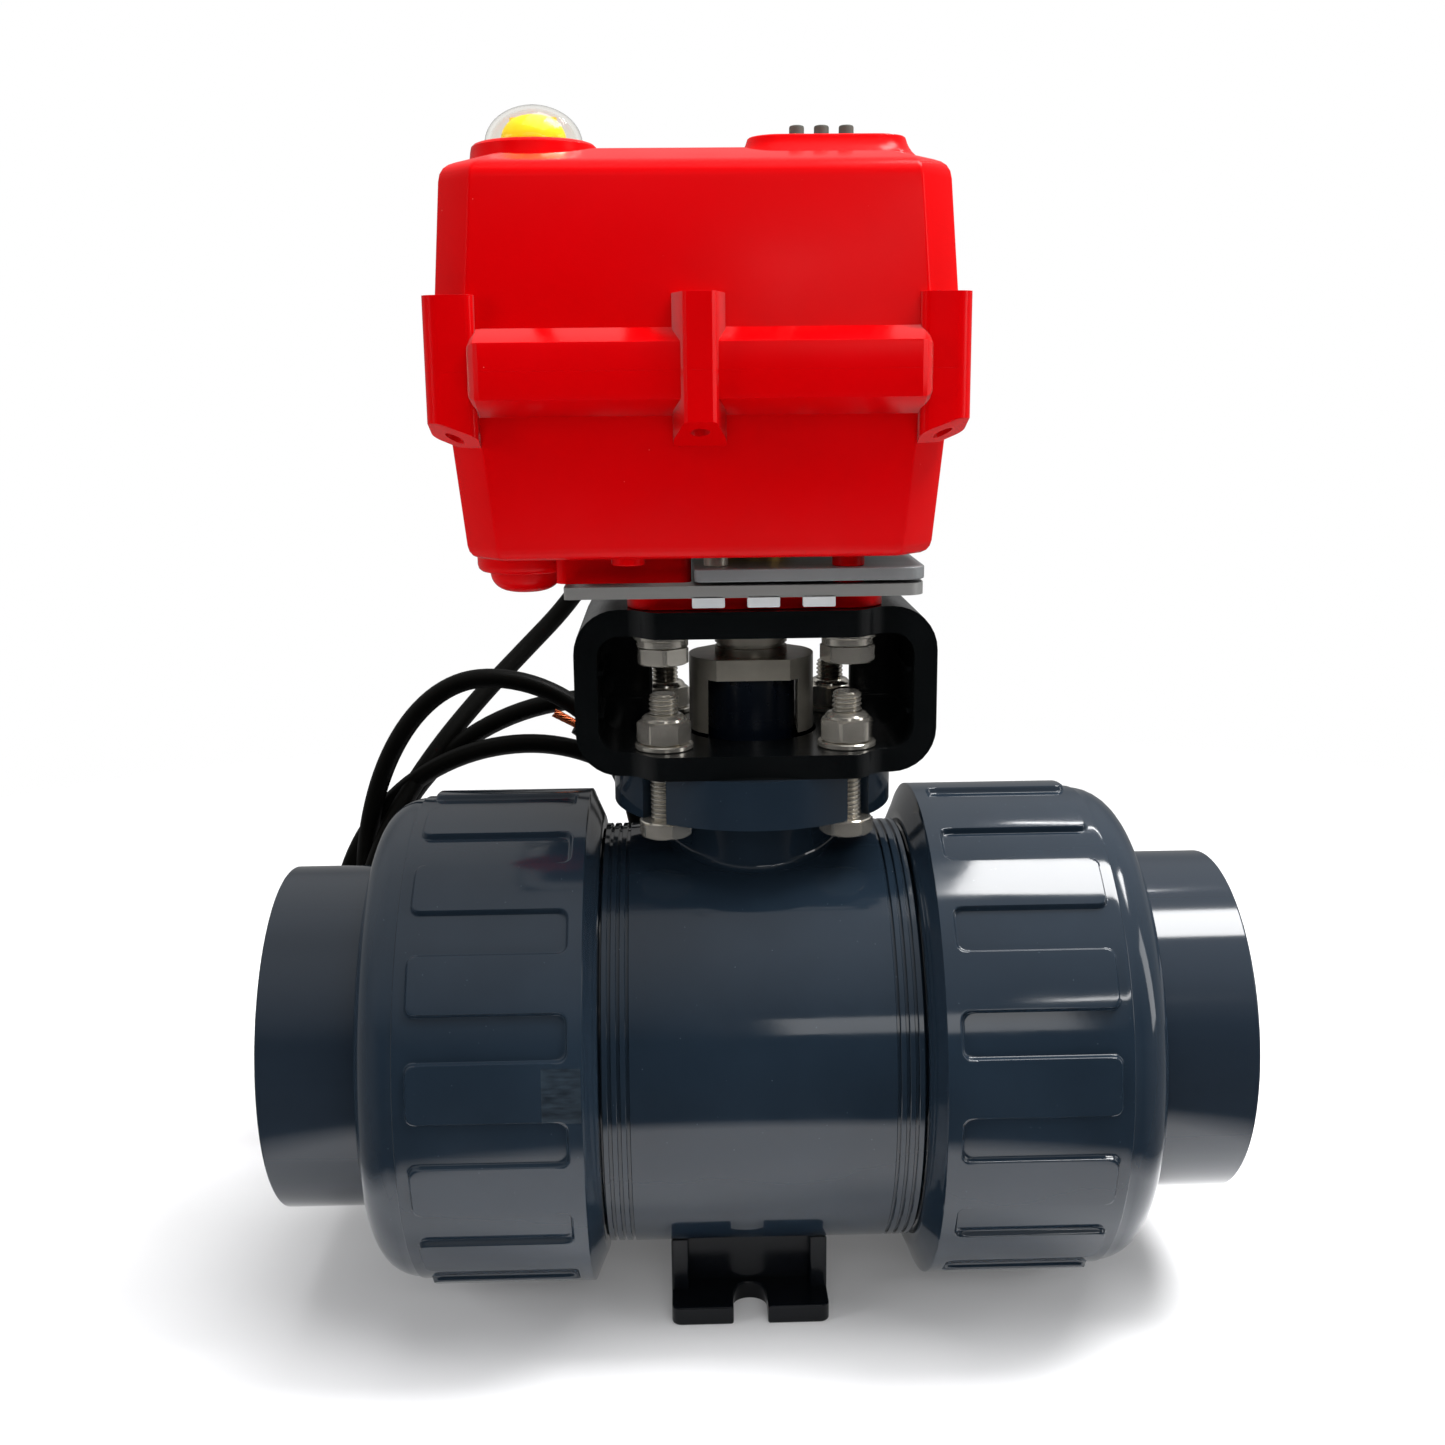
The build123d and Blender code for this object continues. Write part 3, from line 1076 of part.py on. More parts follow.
with BuildPart() as motor_pinion:
    with BuildSketch(Plane.XY.offset(FIRST_WHEEL_LEVEL[0])):
        gear_sketch(motor_spot, PINION_TEETH, FINE_MODULE, motor_phase)
    extrude(amount=level_height(FIRST_WHEEL_LEVEL))
    with BuildSketch(Plane.XY.offset(FIRST_WHEEL_LEVEL[0])):
        with Locations(motor_spot):
            Circle(MOTOR_SHAFT_R)
    extrude(amount=MOTOR_BOTTOM + 6.0 - FIRST_WHEEL_LEVEL[0])
save(motor_pinion.part, "motor_pinion")

with BuildPart() as motor:
    with BuildSketch(Plane.XY.offset(MOTOR_BOTTOM)):
        with Locations(motor_spot):
            Circle(MOTOR_R)
    extrude(amount=MOTOR_TOP - MOTOR_BOTTOM)
    fillet(motor.edges().group_by(Axis.Z)[-1], 1.5)
    with BuildSketch(Plane.XY.offset(MOTOR_BOTTOM)):
        with Locations(motor_spot):
            Circle(MOTOR_SHAFT_R + AXLE_CLEARANCE)
    extrude(amount=7.0, mode=Mode.SUBTRACT)
save(motor.part, "motor")

housing_floor = HOUSING_BOTTOM + CASE_WALL
with BuildPart() as gear_axles:
    with BuildSketch(Plane.XY.offset(housing_floor)):
        with Locations(second_spot, first_spot):
            Circle(GEAR_AXLE_R)
    extrude(amount=GEAR_PLATE_LEVEL[0] - housing_floor)
    with BuildSketch(Plane.XY.offset(GEAR_PLATE_LEVEL[1])):
        with Locations(idler_spot):
            Circle(GEAR_AXLE_R)
    extrude(amount=level_height(INDICATOR_LEVEL) + 4.0)
save(gear_axles.part, "gear_axles")

with BuildPart() as gear_plate:
    with BuildSketch(Plane.XY.offset(GEAR_PLATE_LEVEL[0])):
        with Locations(((GEAR_PLATE_X[0] + GEAR_PLATE_X[1]) / 2, 0)):
            RectangleRounded(GEAR_PLATE_X[1] - GEAR_PLATE_X[0], 2 * BOARD_HALF_Y, 6.0)
        Circle(SHAFT_R + 0.5, mode=Mode.SUBTRACT)
        with Locations(motor_spot):
            Circle(MOTOR_SHAFT_R + 0.6, mode=Mode.SUBTRACT)
        with Locations(indicator_spot):
            Circle(INDICATOR_SHAFT_R + AXLE_CLEARANCE, mode=Mode.SUBTRACT)
    extrude(amount=level_height(GEAR_PLATE_LEVEL))
    with BuildSketch(Plane.XY.offset(GEAR_PLATE_LEVEL[1])):
        with Locations(*POST_SPOTS):
            Circle(POST_R)
    extrude(amount=BOARD_LEVEL - GEAR_PLATE_LEVEL[1])
    with BuildSketch(Plane.XY.offset(housing_floor)):
        with Locations(*PLATE_LEG_SPOTS):
            Circle(POST_R)
    extrude(amount=GEAR_PLATE_LEVEL[0] - housing_floor)
save(gear_plate.part, "gear_plate")

with BuildPart() as output_shaft:
    with BuildSketch(Plane.XY.offset(COUPLING_TOP - COUPLING_BORE_DEPTH)):
        Circle(SHAFT_NOSE_R)
    extrude(amount=SHAFT_STEP - COUPLING_TOP + COUPLING_BORE_DEPTH)
    with BuildSketch(Plane.XY.offset(SHAFT_STEP)):
        Circle(SHAFT_R)
    extrude(amount=SHAFT_TOP - SHAFT_STEP)
save(output_shaft.part, "output_shaft")

with BuildPart() as shaft_bush:
    with BuildSketch(Plane.XY.offset(BLOCK_BOTTOM + 2.0)):
        Circle(BUSH_R)
        Circle(SHAFT_R + AXLE_CLEARANCE, mode=Mode.SUBTRACT)
    extrude(amount=housing_floor + 1.5 - BLOCK_BOTTOM - 2.0)
save(shaft_bush.part, "shaft_bush")

with BuildPart() as indicator_drive_gear:
    with BuildSketch(Plane.XY.offset(INDICATOR_LEVEL[0])):
        gear_sketch(output_spot, INDICATOR_TEETH, INDICATOR_MODULE, 0.0)
        Circle(SHAFT_R, mode=Mode.SUBTRACT)
    extrude(amount=level_height(INDICATOR_LEVEL))
save(indicator_drive_gear.part, "indicator_drive_gear")

with BuildPart() as indicator_idler:
    with BuildSketch(Plane.XY.offset(INDICATOR_LEVEL[0])):
        gear_sketch(idler_spot, INDICATOR_IDLER_TEETH, INDICATOR_MODULE, idler_phase)
        with Locations(idler_spot):
            Circle(GEAR_AXLE_R + AXLE_CLEARANCE, mode=Mode.SUBTRACT)
    extrude(amount=level_height(INDICATOR_LEVEL))
save(indicator_idler.part, "indicator_idler")

with BuildPart() as indicator_shaft:
    with BuildSketch(Plane.XY.offset(INDICATOR_LEVEL[0])):
        gear_sketch(indicator_spot, INDICATOR_TEETH, INDICATOR_MODULE, indicator_phase)
    extrude(amount=level_height(INDICATOR_LEVEL))
    with BuildSketch(Plane.XY.offset(GEAR_PLATE_LEVEL[0])):
        with Locations(indicator_spot):
            Circle(INDICATOR_SHAFT_R)
    extrude(amount=indicator_base + 4.0 - GEAR_PLATE_LEVEL[0])
save(indicator_shaft.part, "indicator_shaft")

with BuildPart() as limit_cams:
    with BuildSketch(Plane.XY.offset(CAM_LEVEL[0])):
        Circle(CAM_R)
        Rectangle(2 * CAM_R, CAM_LOBE_WIDTH, align=(Align.MIN, Align.CENTER), mode=Mode.ADD)
        Circle(CAM_LOBE_R, mode=Mode.INTERSECT)
        Circle(SHAFT_R, mode=Mode.SUBTRACT)
    extrude(amount=level_height(CAM_LEVEL))
save(limit_cams.part, "limit_cams")

with BuildPart() as limit_switches:
    for side in (-1, 1):
        with BuildSketch(Plane.XY.offset(GEAR_PLATE_LEVEL[1])):
            with Locations((SWITCH_X, side * (SWITCH_SIZE[1] / 2 + 1.0))):
                Rectangle(SWITCH_SIZE[0], SWITCH_SIZE[1])
        extrude(amount=CAM_LEVEL[1] - GEAR_PLATE_LEVEL[1])
save(limit_switches.part, "limit_switches")

# ---------------------------------------------------------------- control board and terminals
board_middle = (BOARD_X[0] + BOARD_X[1]) / 2
with BuildPart() as control_board:
    with BuildSketch(Plane.XY.offset(BOARD_LEVEL)):
        with Locations((board_middle, 0)):
            RectangleRounded(BOARD_X[1] - BOARD_X[0], 2 * BOARD_HALF_Y, 2.0)
    extrude(amount=BOARD_THICK)
    with BuildSketch(Plane.XY.offset(BOARD_LEVEL + BOARD_THICK)):
        with Locations(*[(x, BUTTON_Y) for x in BUTTON_XS]):
            Rectangle(*TACT_SWITCH[:2])
    extrude(amount=TACT_SWITCH[2])
save(control_board.part, "control_board")

with BuildPart() as terminal_block:
    with BuildSketch(Plane.XY.offset(BOARD_LEVEL + BOARD_THICK)):
        with Locations((board_middle, TERMINAL_Y)):
            Rectangle(*TERMINAL_SIZE[:2])
    extrude(amount=TERMINAL_SIZE[2])
save(terminal_block.part, "terminal_block")

# ---------------------------------------------------------------- cable
lead_radii = []
for before, corner, after in zip(LEAD_ROUTE, LEAD_ROUTE[1:], LEAD_ROUTE[2:]):
    run_in = Vector(corner) - Vector(before)
    run_out = Vector(after) - Vector(corner)
    half_turn = math.radians(run_in.get_angle(run_out)) / 2
    lead_radii.append(0.45 * min(run_in.length, run_out.length) / math.tan(half_turn))
print("cable bend radii", [round(radius, 1) for radius in lead_radii])
with BuildPart() as cable_lead:
    with BuildLine() as lead_path:
        FilletPolyline(*LEAD_ROUTE, radius=lead_radii)
    with BuildSketch(Plane(origin=LEAD_ROUTE[0], z_dir=lead_path.line % 0)):
        Circle(CABLE_R)
    sweep()
section_volume = math.pi * CABLE_R**2 * sum(edge.length for edge in lead_path.edges())
print("cable volume ratio", round(cable_lead.part.volume / section_volume, 4))
save(cable_lead.part, "cable_lead")

with BuildPart() as cable_coil:
    with BuildSketch(Plane.XZ.offset(-COIL_Y[1])):
        with Locations(COIL_CENTRE):
            Ellipse(*COIL_HALF)
            Ellipse(COIL_HALF[0] - COIL_RADIAL, COIL_HALF[1] - COIL_RADIAL, mode=Mode.SUBTRACT)
    extrude(amount=COIL_Y[1] - COIL_Y[0])
save(cable_coil.part, "cable_coil")

with BuildPart() as wire_ends:
    for offset in (-1.6, 0.0, 1.6):
        wire_start = Vector(WIRE_END) + Vector(0, 0, offset)
        with BuildSketch(Plane(origin=wire_start, z_dir=(-0.85, -0.45, 0.2 + 0.1 * offset))):
            Circle(WIRE_R)
        extrude(amount=WIRE_LENGTH)
save(wire_ends.part, "wire_ends")
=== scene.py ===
"""Look of a motorized ball valve: materials, detailed pieces, cable, light and camera."""
from math import asin, atan2, cos, degrees, hypot, pi, radians, sin, sqrt, tan

import bmesh
import bpy
from mathutils import Matrix, Vector


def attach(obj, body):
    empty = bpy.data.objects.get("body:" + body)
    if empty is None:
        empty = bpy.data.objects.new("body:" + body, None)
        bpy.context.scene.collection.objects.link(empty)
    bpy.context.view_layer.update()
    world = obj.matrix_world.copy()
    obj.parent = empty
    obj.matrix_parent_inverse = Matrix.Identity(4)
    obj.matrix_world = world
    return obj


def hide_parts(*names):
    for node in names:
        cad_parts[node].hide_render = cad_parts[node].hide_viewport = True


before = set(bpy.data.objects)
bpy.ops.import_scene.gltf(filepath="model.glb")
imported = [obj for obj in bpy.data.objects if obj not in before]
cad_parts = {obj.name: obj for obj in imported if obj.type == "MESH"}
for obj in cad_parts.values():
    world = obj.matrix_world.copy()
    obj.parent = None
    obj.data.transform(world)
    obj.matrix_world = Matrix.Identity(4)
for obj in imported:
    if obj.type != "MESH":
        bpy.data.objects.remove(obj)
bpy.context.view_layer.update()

MM = 0.001
AXIS_Z = 76.0                  # pipe axis above the floor; lengths are in millimetres unless said otherwise
CASE_X = -14.4                 # centre of the case, left of the stem axis
BOLT_SPOTS = [(24.75 * x, 24.75 * y) for y in (-1, 1) for x in (-1, 1)]
DOME_SPOT = (-55.0, -19.9)
BUTTON_SPOTS = [(11.5, -20.0), (17.8, -20.0), (24.1, -20.0)]
PAD_SPOT = (18.7, -20.0)
GLAND_SPOT = (-40.0, AXIS_Z + 158.0)
PARTING = 190.5                # joint between housing and cover, above the pipe axis
CABLE_R = 3.3
M8_THREAD = (3.95, 0.62, 1.25)  # radius, depth and pitch
CORE = 0.01                    # radius of the points that lie on the axis of a turned shape
CONE_SLOPE = 0.62              # drop of a hexagon's edge per radius past the cone that takes its corners off
TONGUES = 16
GRIP_R = 71.0
TONGUE_PITCH = 2 * pi * GRIP_R / TONGUES
TONGUE_HALF = 7.9


# ---- materials
LOOKS = {}


def linear(colour):
    """Linear colour, with its alpha, from 8-bit display values."""
    values = [c / 255.0 for c in colour]
    return [c / 12.92 if c <= 0.04045 else ((c + 0.055) / 1.055) ** 2.4 for c in values] + [1.0]


def add_node(tree, kind, inputs, **settings):
    """Shader node with its settings, and with its inputs set to values or linked to sockets."""
    node = tree.nodes.new(kind)
    for name, value in settings.items():
        setattr(node, name, value)
    for key, value in inputs.items():
        if isinstance(value, bpy.types.NodeSocket):
            tree.links.new(value, node.inputs[key])
        else:
            node.inputs[key].default_value = value
    return node


def object_place(tree):
    """Socket with the place on the object, in its own metres."""
    return tree.nodes.new("ShaderNodeTexCoord").outputs["Object"]


def noise(tree, scale, detail=3.0, stretch=(1, 1, 1)):
    """Noise in the object's own space; the scale is in features per metre."""
    mapping = add_node(tree, "ShaderNodeMapping", {"Vector": object_place(tree), "Scale": stretch})
    inputs = {"Vector": mapping.outputs["Vector"], "Scale": scale, "Detail": detail}
    return add_node(tree, "ShaderNodeTexNoise", inputs).outputs["Fac"]


def spread(tree, value, low, high, from_low=0.25, from_high=0.75):
    """Value mapped from the noise's usual range onto low to high."""
    inputs = {"Value": value, "From Min": from_low, "From Max": from_high, "To Min": low, "To Max": high}
    return add_node(tree, "ShaderNodeMapRange", inputs).outputs["Result"]


def mixed(tree, factor, first, second):
    """Colour between two colours or colour sockets by a factor socket."""
    inputs = {"Factor": factor, 6: first, 7: second}
    return add_node(tree, "ShaderNodeMix", inputs, data_type="RGBA").outputs[2]


def specks(tree, density, size):
    """One on tiny scattered dots and zero elsewhere."""
    cells = add_node(tree, "ShaderNodeTexVoronoi", {"Vector": object_place(tree), "Scale": density})
    return spread(tree, cells.outputs["Distance"], 1.0, 0.0, size * 0.5, size)


def surface(name, dark, light, rough, mottle=60.0, grain=(900.0, 10), stretch=(1, 1, 1), metallic=0, ior=1.5):
    """Principled material with noise in its colour, roughness and relief.

    Mottle and grain are in features per metre, and the grain's second number is its depth in micrometres.
    """
    material = bpy.data.materials.new(name)
    LOOKS[name] = material
    material.use_nodes = True
    tree = material.node_tree
    shader = tree.nodes["Principled BSDF"]
    shader.inputs["Metallic"].default_value = metallic
    shader.inputs["IOR"].default_value = ior
    patches = spread(tree, noise(tree, mottle, 4.0, stretch), 0.0, 1.0)
    tree.links.new(mixed(tree, patches, linear(dark), linear(light)), shader.inputs["Base Color"])
    tree.links.new(spread(tree, noise(tree, mottle * 2.3, 5.0, stretch), *rough), shader.inputs["Roughness"])
    relief = {"Height": noise(tree, grain[0], 3.0, stretch), "Strength": 0.6, "Distance": grain[1] * 1e-6}
    tree.links.new(add_node(tree, "ShaderNodeBump", relief).outputs["Normal"], shader.inputs["Normal"])
    return material


def base_colour_socket(material):
    """Tree, shader and the socket that now feeds the base colour."""
    tree = material.node_tree
    shader = tree.nodes["Principled BSDF"]
    return tree, shader, shader.inputs["Base Color"].links[0].from_socket


def dusted(material, colour, density, size):
    """The same material with fine light specks of dust and moulding marks."""
    tree, shader, colour_socket = base_colour_socket(material)
    dots = specks(tree, density, size)
    tree.links.new(mixed(tree, dots, colour_socket, linear(colour)), shader.inputs["Base Color"])
    return material


def scraped(material):
    """The same plastic with a dull scratched patch where the mesh says so."""
    tree, shader, colour_socket = base_colour_socket(material)
    patch = add_node(tree, "ShaderNodeAttribute", {}, attribute_name="scrape").outputs["Fac"]
    scratches = spread(tree, noise(tree, 700.0, 5.0, (0.35, 1.0, 1.6)), 0.0, 1.0)
    chalk = mixed(tree, scratches, linear((16, 24, 32)), linear((42, 54, 64)))
    tree.links.new(mixed(tree, patch, colour_socket, chalk), shader.inputs["Base Color"])
    roughness = shader.inputs["Roughness"]
    duller = {0: patch, 1: 0.22, 2: roughness.links[0].from_socket}
    sum_node = add_node(tree, "ShaderNodeMath", duller, operation="MULTIPLY_ADD")
    tree.links.new(sum_node.outputs["Value"], roughness)
    return material


def clear_plastic(name):
    """Clear moulded dome."""
    material = surface(name, (238, 236, 230), (242, 240, 234), (0.01, 0.03), grain=(500.0, 2), ior=1.24)
    material.node_tree.nodes["Principled BSDF"].inputs["Transmission Weight"].default_value = 1.0
    return material


PVC_DUST = ((90, 104, 114), 300.0, 0.04)
DRAWN_ALONG_X = (0.05, 1.0, 1.0)

dusted(surface("pvc_dark_grey", (22, 32, 42), (29, 40, 51), (0.05, 0.12), 26.0, (260.0, 8)), *PVC_DUST)
scraped(dusted(
    surface("pvc_dark_grey_worn", (24, 34, 44), (31, 42, 53), (0.07, 0.15), 26.0, (260.0, 8)), *PVC_DUST,
))
surface("pvc_turned", (25, 33, 42), (32, 41, 51), (0.06, 0.13), 30.0, (500.0, 5), (0.08, 1.0, 1.0))
surface("pvc_stem", (10, 18, 30), (15, 25, 38), (0.22, 0.34), 60.0, (1200.0, 10))
dusted(
    surface("abs_red", (201, 0, 3), (209, 0, 6), (0.2, 0.27), 30.0, (1100.0, 6), ior=1.2),
    (238, 120, 110), 150.0, 0.022,
)
surface("foot_black", (6, 9, 13), (11, 14, 19), (0.14, 0.24), 50.0, (700.0, 10), ior=1.34)
surface("bracket_black", (6, 8, 9), (11, 13, 14), (0.16, 0.24), 60.0, (1200.0, 10), ior=1.35)
surface("stainless", (196, 191, 180), (228, 223, 213), (0.15, 0.22), 160.0, (900.0, 1), metallic=0.82)
surface("cast_steel", (186, 180, 166), (212, 206, 192), (0.28, 0.36), 120.0, (700.0, 1), metallic=0.5)
surface(
    "drawn_steel", (124, 124, 122), (156, 156, 154), (0.24, 0.38), 90.0, (700.0, 12), DRAWN_ALONG_X, 0.4,
)
surface("tab_steel", (196, 200, 202), (222, 225, 226), (0.3, 0.42), 90.0, (700.0, 8), metallic=0.25)
surface(
    "plate_grey", (112, 114, 116), (136, 138, 139), (0.42, 0.55), 80.0, (1100.0, 14), (0.2, 1.0, 1.0), 0.35,
)
surface("seat_white", (226, 226, 220), (240, 240, 235), (0.35, 0.5))
surface("seal_rubber", (16, 16, 17), (24, 24, 25), (0.5, 0.7), 120.0, (2500.0, 30))
clear_plastic("clear_dome")
surface("indicator_yellow", (244, 206, 0), (252, 222, 0), (0.4, 0.5), 90.0, ior=1.2)
surface("button_grey", (70, 74, 68), (88, 93, 86), (0.4, 0.55), 300.0, (3000.0, 20), ior=1.35)
surface("gland_black", (14, 14, 15), (22, 22, 23), (0.36, 0.5), 80.0, (1500.0, 20))
surface("cable_black", (4, 4, 3), (8, 8, 7), (0.4, 0.5), 45.0, (800.0, 20), ior=1.18)
surface("copper", (196, 98, 58), (224, 128, 84), (0.22, 0.38), 400.0, (3500.0, 10), metallic=1.0)
surface("gear_brass", (176, 134, 58), (204, 162, 82), (0.26, 0.4), 120.0, (1800.0, 10), metallic=1.0)
surface("gear_nylon", (214, 210, 196), (230, 227, 214), (0.4, 0.52))
surface(
    "motor_can", (120, 122, 124), (160, 161, 162), (0.3, 0.46), 90.0, (900.0, 12), (1.0, 1.0, 0.1), 1.0,
)
dusted(surface("board_green", (8, 62, 34), (14, 78, 44), (0.3, 0.45), 120.0), (196, 182, 110), 420.0, 0.12)
surface("terminal_green", (22, 118, 58), (32, 138, 70), (0.36, 0.48))
surface("switch_black", (20, 20, 22), (30, 30, 32), (0.4, 0.55))


# ---- shapes, each a pair of points and faces, in millimetres
def join(*shapes):
    """One shape from several."""
    points, faces = [], []
    for more_points, more_faces in shapes:
        start = len(points)
        points += [tuple(p) for p in more_points]
        faces += [tuple(start + index for index in face) for face in more_faces]
    return points, faces


def loft(rings, caps=True, closed=True):
    """Skin over rings that have the same number of points."""
    count = len(rings[0])
    points = [point for ring in rings for point in ring]
    faces = []
    for level in range(len(rings) - 1):
        here, above = level * count, (level + 1) * count
        for index in range(count if closed else count - 1):
            after = (index + 1) % count
            faces.append((here + index, here + after, above + after, above + index))
    if caps:
        faces.append(tuple(range(count - 1, -1, -1)))
        faces.append(tuple(range((len(rings) - 1) * count, len(rings) * count)))
    return points, faces


def set_along(axis, centre, along, across, up):
    """Point at a distance along an axis through a centre, with two coordinates across it."""
    if axis == "x":
        return (along, centre[0] + across, centre[1] + up)
    if axis == "y":
        return (centre[0] + across, along, centre[1] + up)
    return (centre[0] + across, centre[1] + up, along)


def whole_turn(steps):
    """Angles of a whole turn in equal steps."""
    return [2 * pi * step / steps for step in range(steps)]


def polar(axis, centre, along, radius, angle):
    """Point at a distance along an axis through a centre, at a radius and an angle around it."""
    return set_along(axis, centre, along, radius * cos(angle), radius * sin(angle))


def lathe(profile, steps=96, axis="z", centre=(0.0, 0.0)):
    """Closed profile of (along, radius) points turned about an axis."""
    rings = []
    for angle in whole_turn(steps):
        rings.append([polar(axis, centre, along, radius, angle) for along, radius in profile])
    return loft(rings + rings[:1], caps=False)


def upright(profile, steps=96, centre=(0.0, 0.0)):
    """Profile turned about an upright line, with its levels counted from the pipe axis."""
    return lathe([(AXIS_Z + level, radius) for level, radius in profile], steps, "z", centre)


def swung(start, end, share):
    """Spherical mean of two vectors of the same length."""
    angle = start.angle(end)
    return (start * sin((1 - share) * angle) + end * sin(share * angle)) / sin(angle)


def rounded(corners, radius, steps=4):
    """Closed outline with its corners turned on a radius; a corner may carry its own as a third number."""
    outline = []
    for index, corner in enumerate(corners):
        before = Vector(corners[index - 1][:2])
        here = Vector(corner[:2])
        after = Vector(corners[(index + 1) % len(corners)][:2])
        turn = corner[2] if len(corner) > 2 else radius
        back, ahead = before - here, after - here
        half = back.angle(ahead) / 2
        reach = min(turn / tan(half), 0.49 * back.length, 0.49 * ahead.length)
        middle = here + (back.normalized() + ahead.normalized()).normalized() * reach / cos(half)
        start = here + back.normalized() * reach - middle
        end = here + ahead.normalized() * reach - middle
        for step in range(steps + 1):
            outline.append(tuple(middle + swung(start, end, step / steps)))
    return outline


def rectangle(half_x, half_y, centre=(0.0, 0.0)):
    """Corners of a rectangle."""
    x, y = centre
    left, right, front, back = x - half_x, x + half_x, y - half_y, y + half_y
    return [(left, front), (right, front), (right, back), (left, back)]


def circle(radius, centre=(0.0, 0.0), steps=48):
    """Outline of a circle."""
    return [(centre[0] + radius * cos(angle), centre[1] + radius * sin(angle)) for angle in whole_turn(steps)]


def prism(outline, low, high, axis="z"):
    """Outline pulled between two levels."""
    return loft([[set_along(axis, (0.0, 0.0), level, *point) for point in outline] for level in (low, high)])


def slab(outline, low, high):
    """Outline pulled up between two levels above the pipe axis."""
    return prism(outline, AXIS_Z + low, AXIS_Z + high)


def linked(name, data):
    """New object in the scene."""
    made = bpy.data.objects.new(name, data)
    bpy.context.scene.collection.objects.link(made)
    return made


def temporary(shape):
    """Object with a shape's mesh, for a cut."""
    mesh = bpy.data.meshes.new("temporary")
    mesh.from_pydata(shape[0], [], shape[1])
    work = bmesh.new()
    work.from_mesh(mesh)
    bmesh.ops.remove_doubles(work, verts=work.verts, dist=1e-4)
    bmesh.ops.recalc_face_normals(work, faces=work.faces)
    work.to_mesh(mesh)
    work.free()
    return linked("temporary", mesh)


def carved(shape, *cutters):
    """Closed shape with closed cutters taken away."""
    target = temporary(shape)
    for cutter in cutters:
        modifier = target.modifiers.new("cut", "BOOLEAN")
        modifier.solver = "EXACT"
        modifier.object = temporary(cutter)
    result = target.evaluated_get(bpy.context.evaluated_depsgraph_get()).to_mesh()
    points = [tuple(vertex.co) for vertex in result.vertices]
    faces = [tuple(polygon.vertices) for polygon in result.polygons]
    for modifier in target.modifiers:
        bpy.data.objects.remove(modifier.object)
    bpy.data.objects.remove(target)
    return points, faces


def hex_radius(angle, across_flats):
    """Distance from the middle of a hexagon to its edge."""
    from_flat = (angle + pi / 6) % (pi / 3) - pi / 6
    return across_flats / 2 / cos(from_flat)


def hexagon(across_flats, low, high, hole=0.0, chamfers=(True, True), axis="z", centre=(0.0, 0.0), turn=0.0):
    """Hexagonal head or nut with its corners taken off by a cone."""
    angles = [radians(6 * step + 2) for step in range(60)]
    corner_r = 0.965 * across_flats / 2
    bore_r = max(hole, CORE)

    def flat_ring(level, radius):
        return [polar(axis, centre, level, radius, angle + turn) for angle in angles]

    def edge_ring(level, slope):
        ring = []
        for angle in angles:
            radius = hex_radius(angle, across_flats)
            drop = slope * max(0.0, radius - corner_r)
            ring.append(polar(axis, centre, level + drop, radius, angle + turn))
        return ring

    slopes = [CONE_SLOPE if chamfer else 0.0 for chamfer in chamfers]
    rings = [flat_ring(low, bore_r), flat_ring(low, corner_r), edge_ring(low, slopes[0])]
    rings += [edge_ring(high, -slopes[1]), flat_ring(high, corner_r), flat_ring(high, bore_r)]
    return loft(rings + rings[:1], caps=False)


def screw_thread(radius, depth, pitch, low, high, axis="z", centre=(0, 0), around=28, per_turn=8, end=None):
    """Threaded rod whose rows follow the helix; end is the radius that its point narrows to."""
    root = radius - depth
    tip = root if end is None else end
    turns = int((high - low) / pitch) + 2
    angles = [2 * pi * step / around for step in range(around + 1)]
    columns = []
    for step, angle in enumerate(angles):
        column = []
        for row in range(-per_turn, turns * per_turn + 1):
            along = low + pitch * (row / per_turn + step / around)
            ripple = min(1.0, 1.5 * (1.0 - abs(2 * (row / per_turn % 1.0) - 1.0)))
            ring_r = root + depth * ripple
            if end is not None:
                ring_r = min(ring_r, end + max(0.0, high - along))
            if along <= low:
                along, ring_r = low, root
            if along >= high:
                along, ring_r = high, tip
            column.append(polar(axis, centre, along, ring_r, angle))
        columns.append(column)
    lids = []
    for along, ring_r in ((low, root), (high, tip)):
        lid = [polar(axis, centre, along, ring_r, angle) for angle in angles[:-1]]
        lids.append((lid, [tuple(range(around))]))
    return join(loft(columns, caps=False, closed=False), *lids)


def piece(name, shape, look, replaced=None, body="valve", bevel=0.0, sharp=32.0, segments=2):
    """Object from a shape in millimetres, with its edges softened, that stands for a CAD node."""
    mesh = bpy.data.meshes.new(name)
    mesh.from_pydata([(x * MM, y * MM, z * MM) for x, y, z in shape[0]], [], shape[1])
    work = bmesh.new()
    work.from_mesh(mesh)
    bmesh.ops.remove_doubles(work, verts=work.verts, dist=2e-6)
    bmesh.ops.dissolve_degenerate(work, edges=work.edges, dist=1e-6)
    bmesh.ops.recalc_face_normals(work, faces=work.faces)
    work.to_mesh(mesh)
    work.free()
    mesh.shade_smooth()
    mesh.set_sharp_from_angle(angle=radians(sharp))
    mesh.materials.append(LOOKS[look])
    made = linked(name, mesh)
    if bevel:
        modifier = made.modifiers.new("soft_edges", "BEVEL")
        modifier.width = bevel * MM
        modifier.segments = segments
        modifier.limit_method = "ANGLE"
        modifier.angle_limit = radians(sharp)
        modifier.harden_normals = True
    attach(made, body)
    if replaced:
        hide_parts(replaced)
    return made


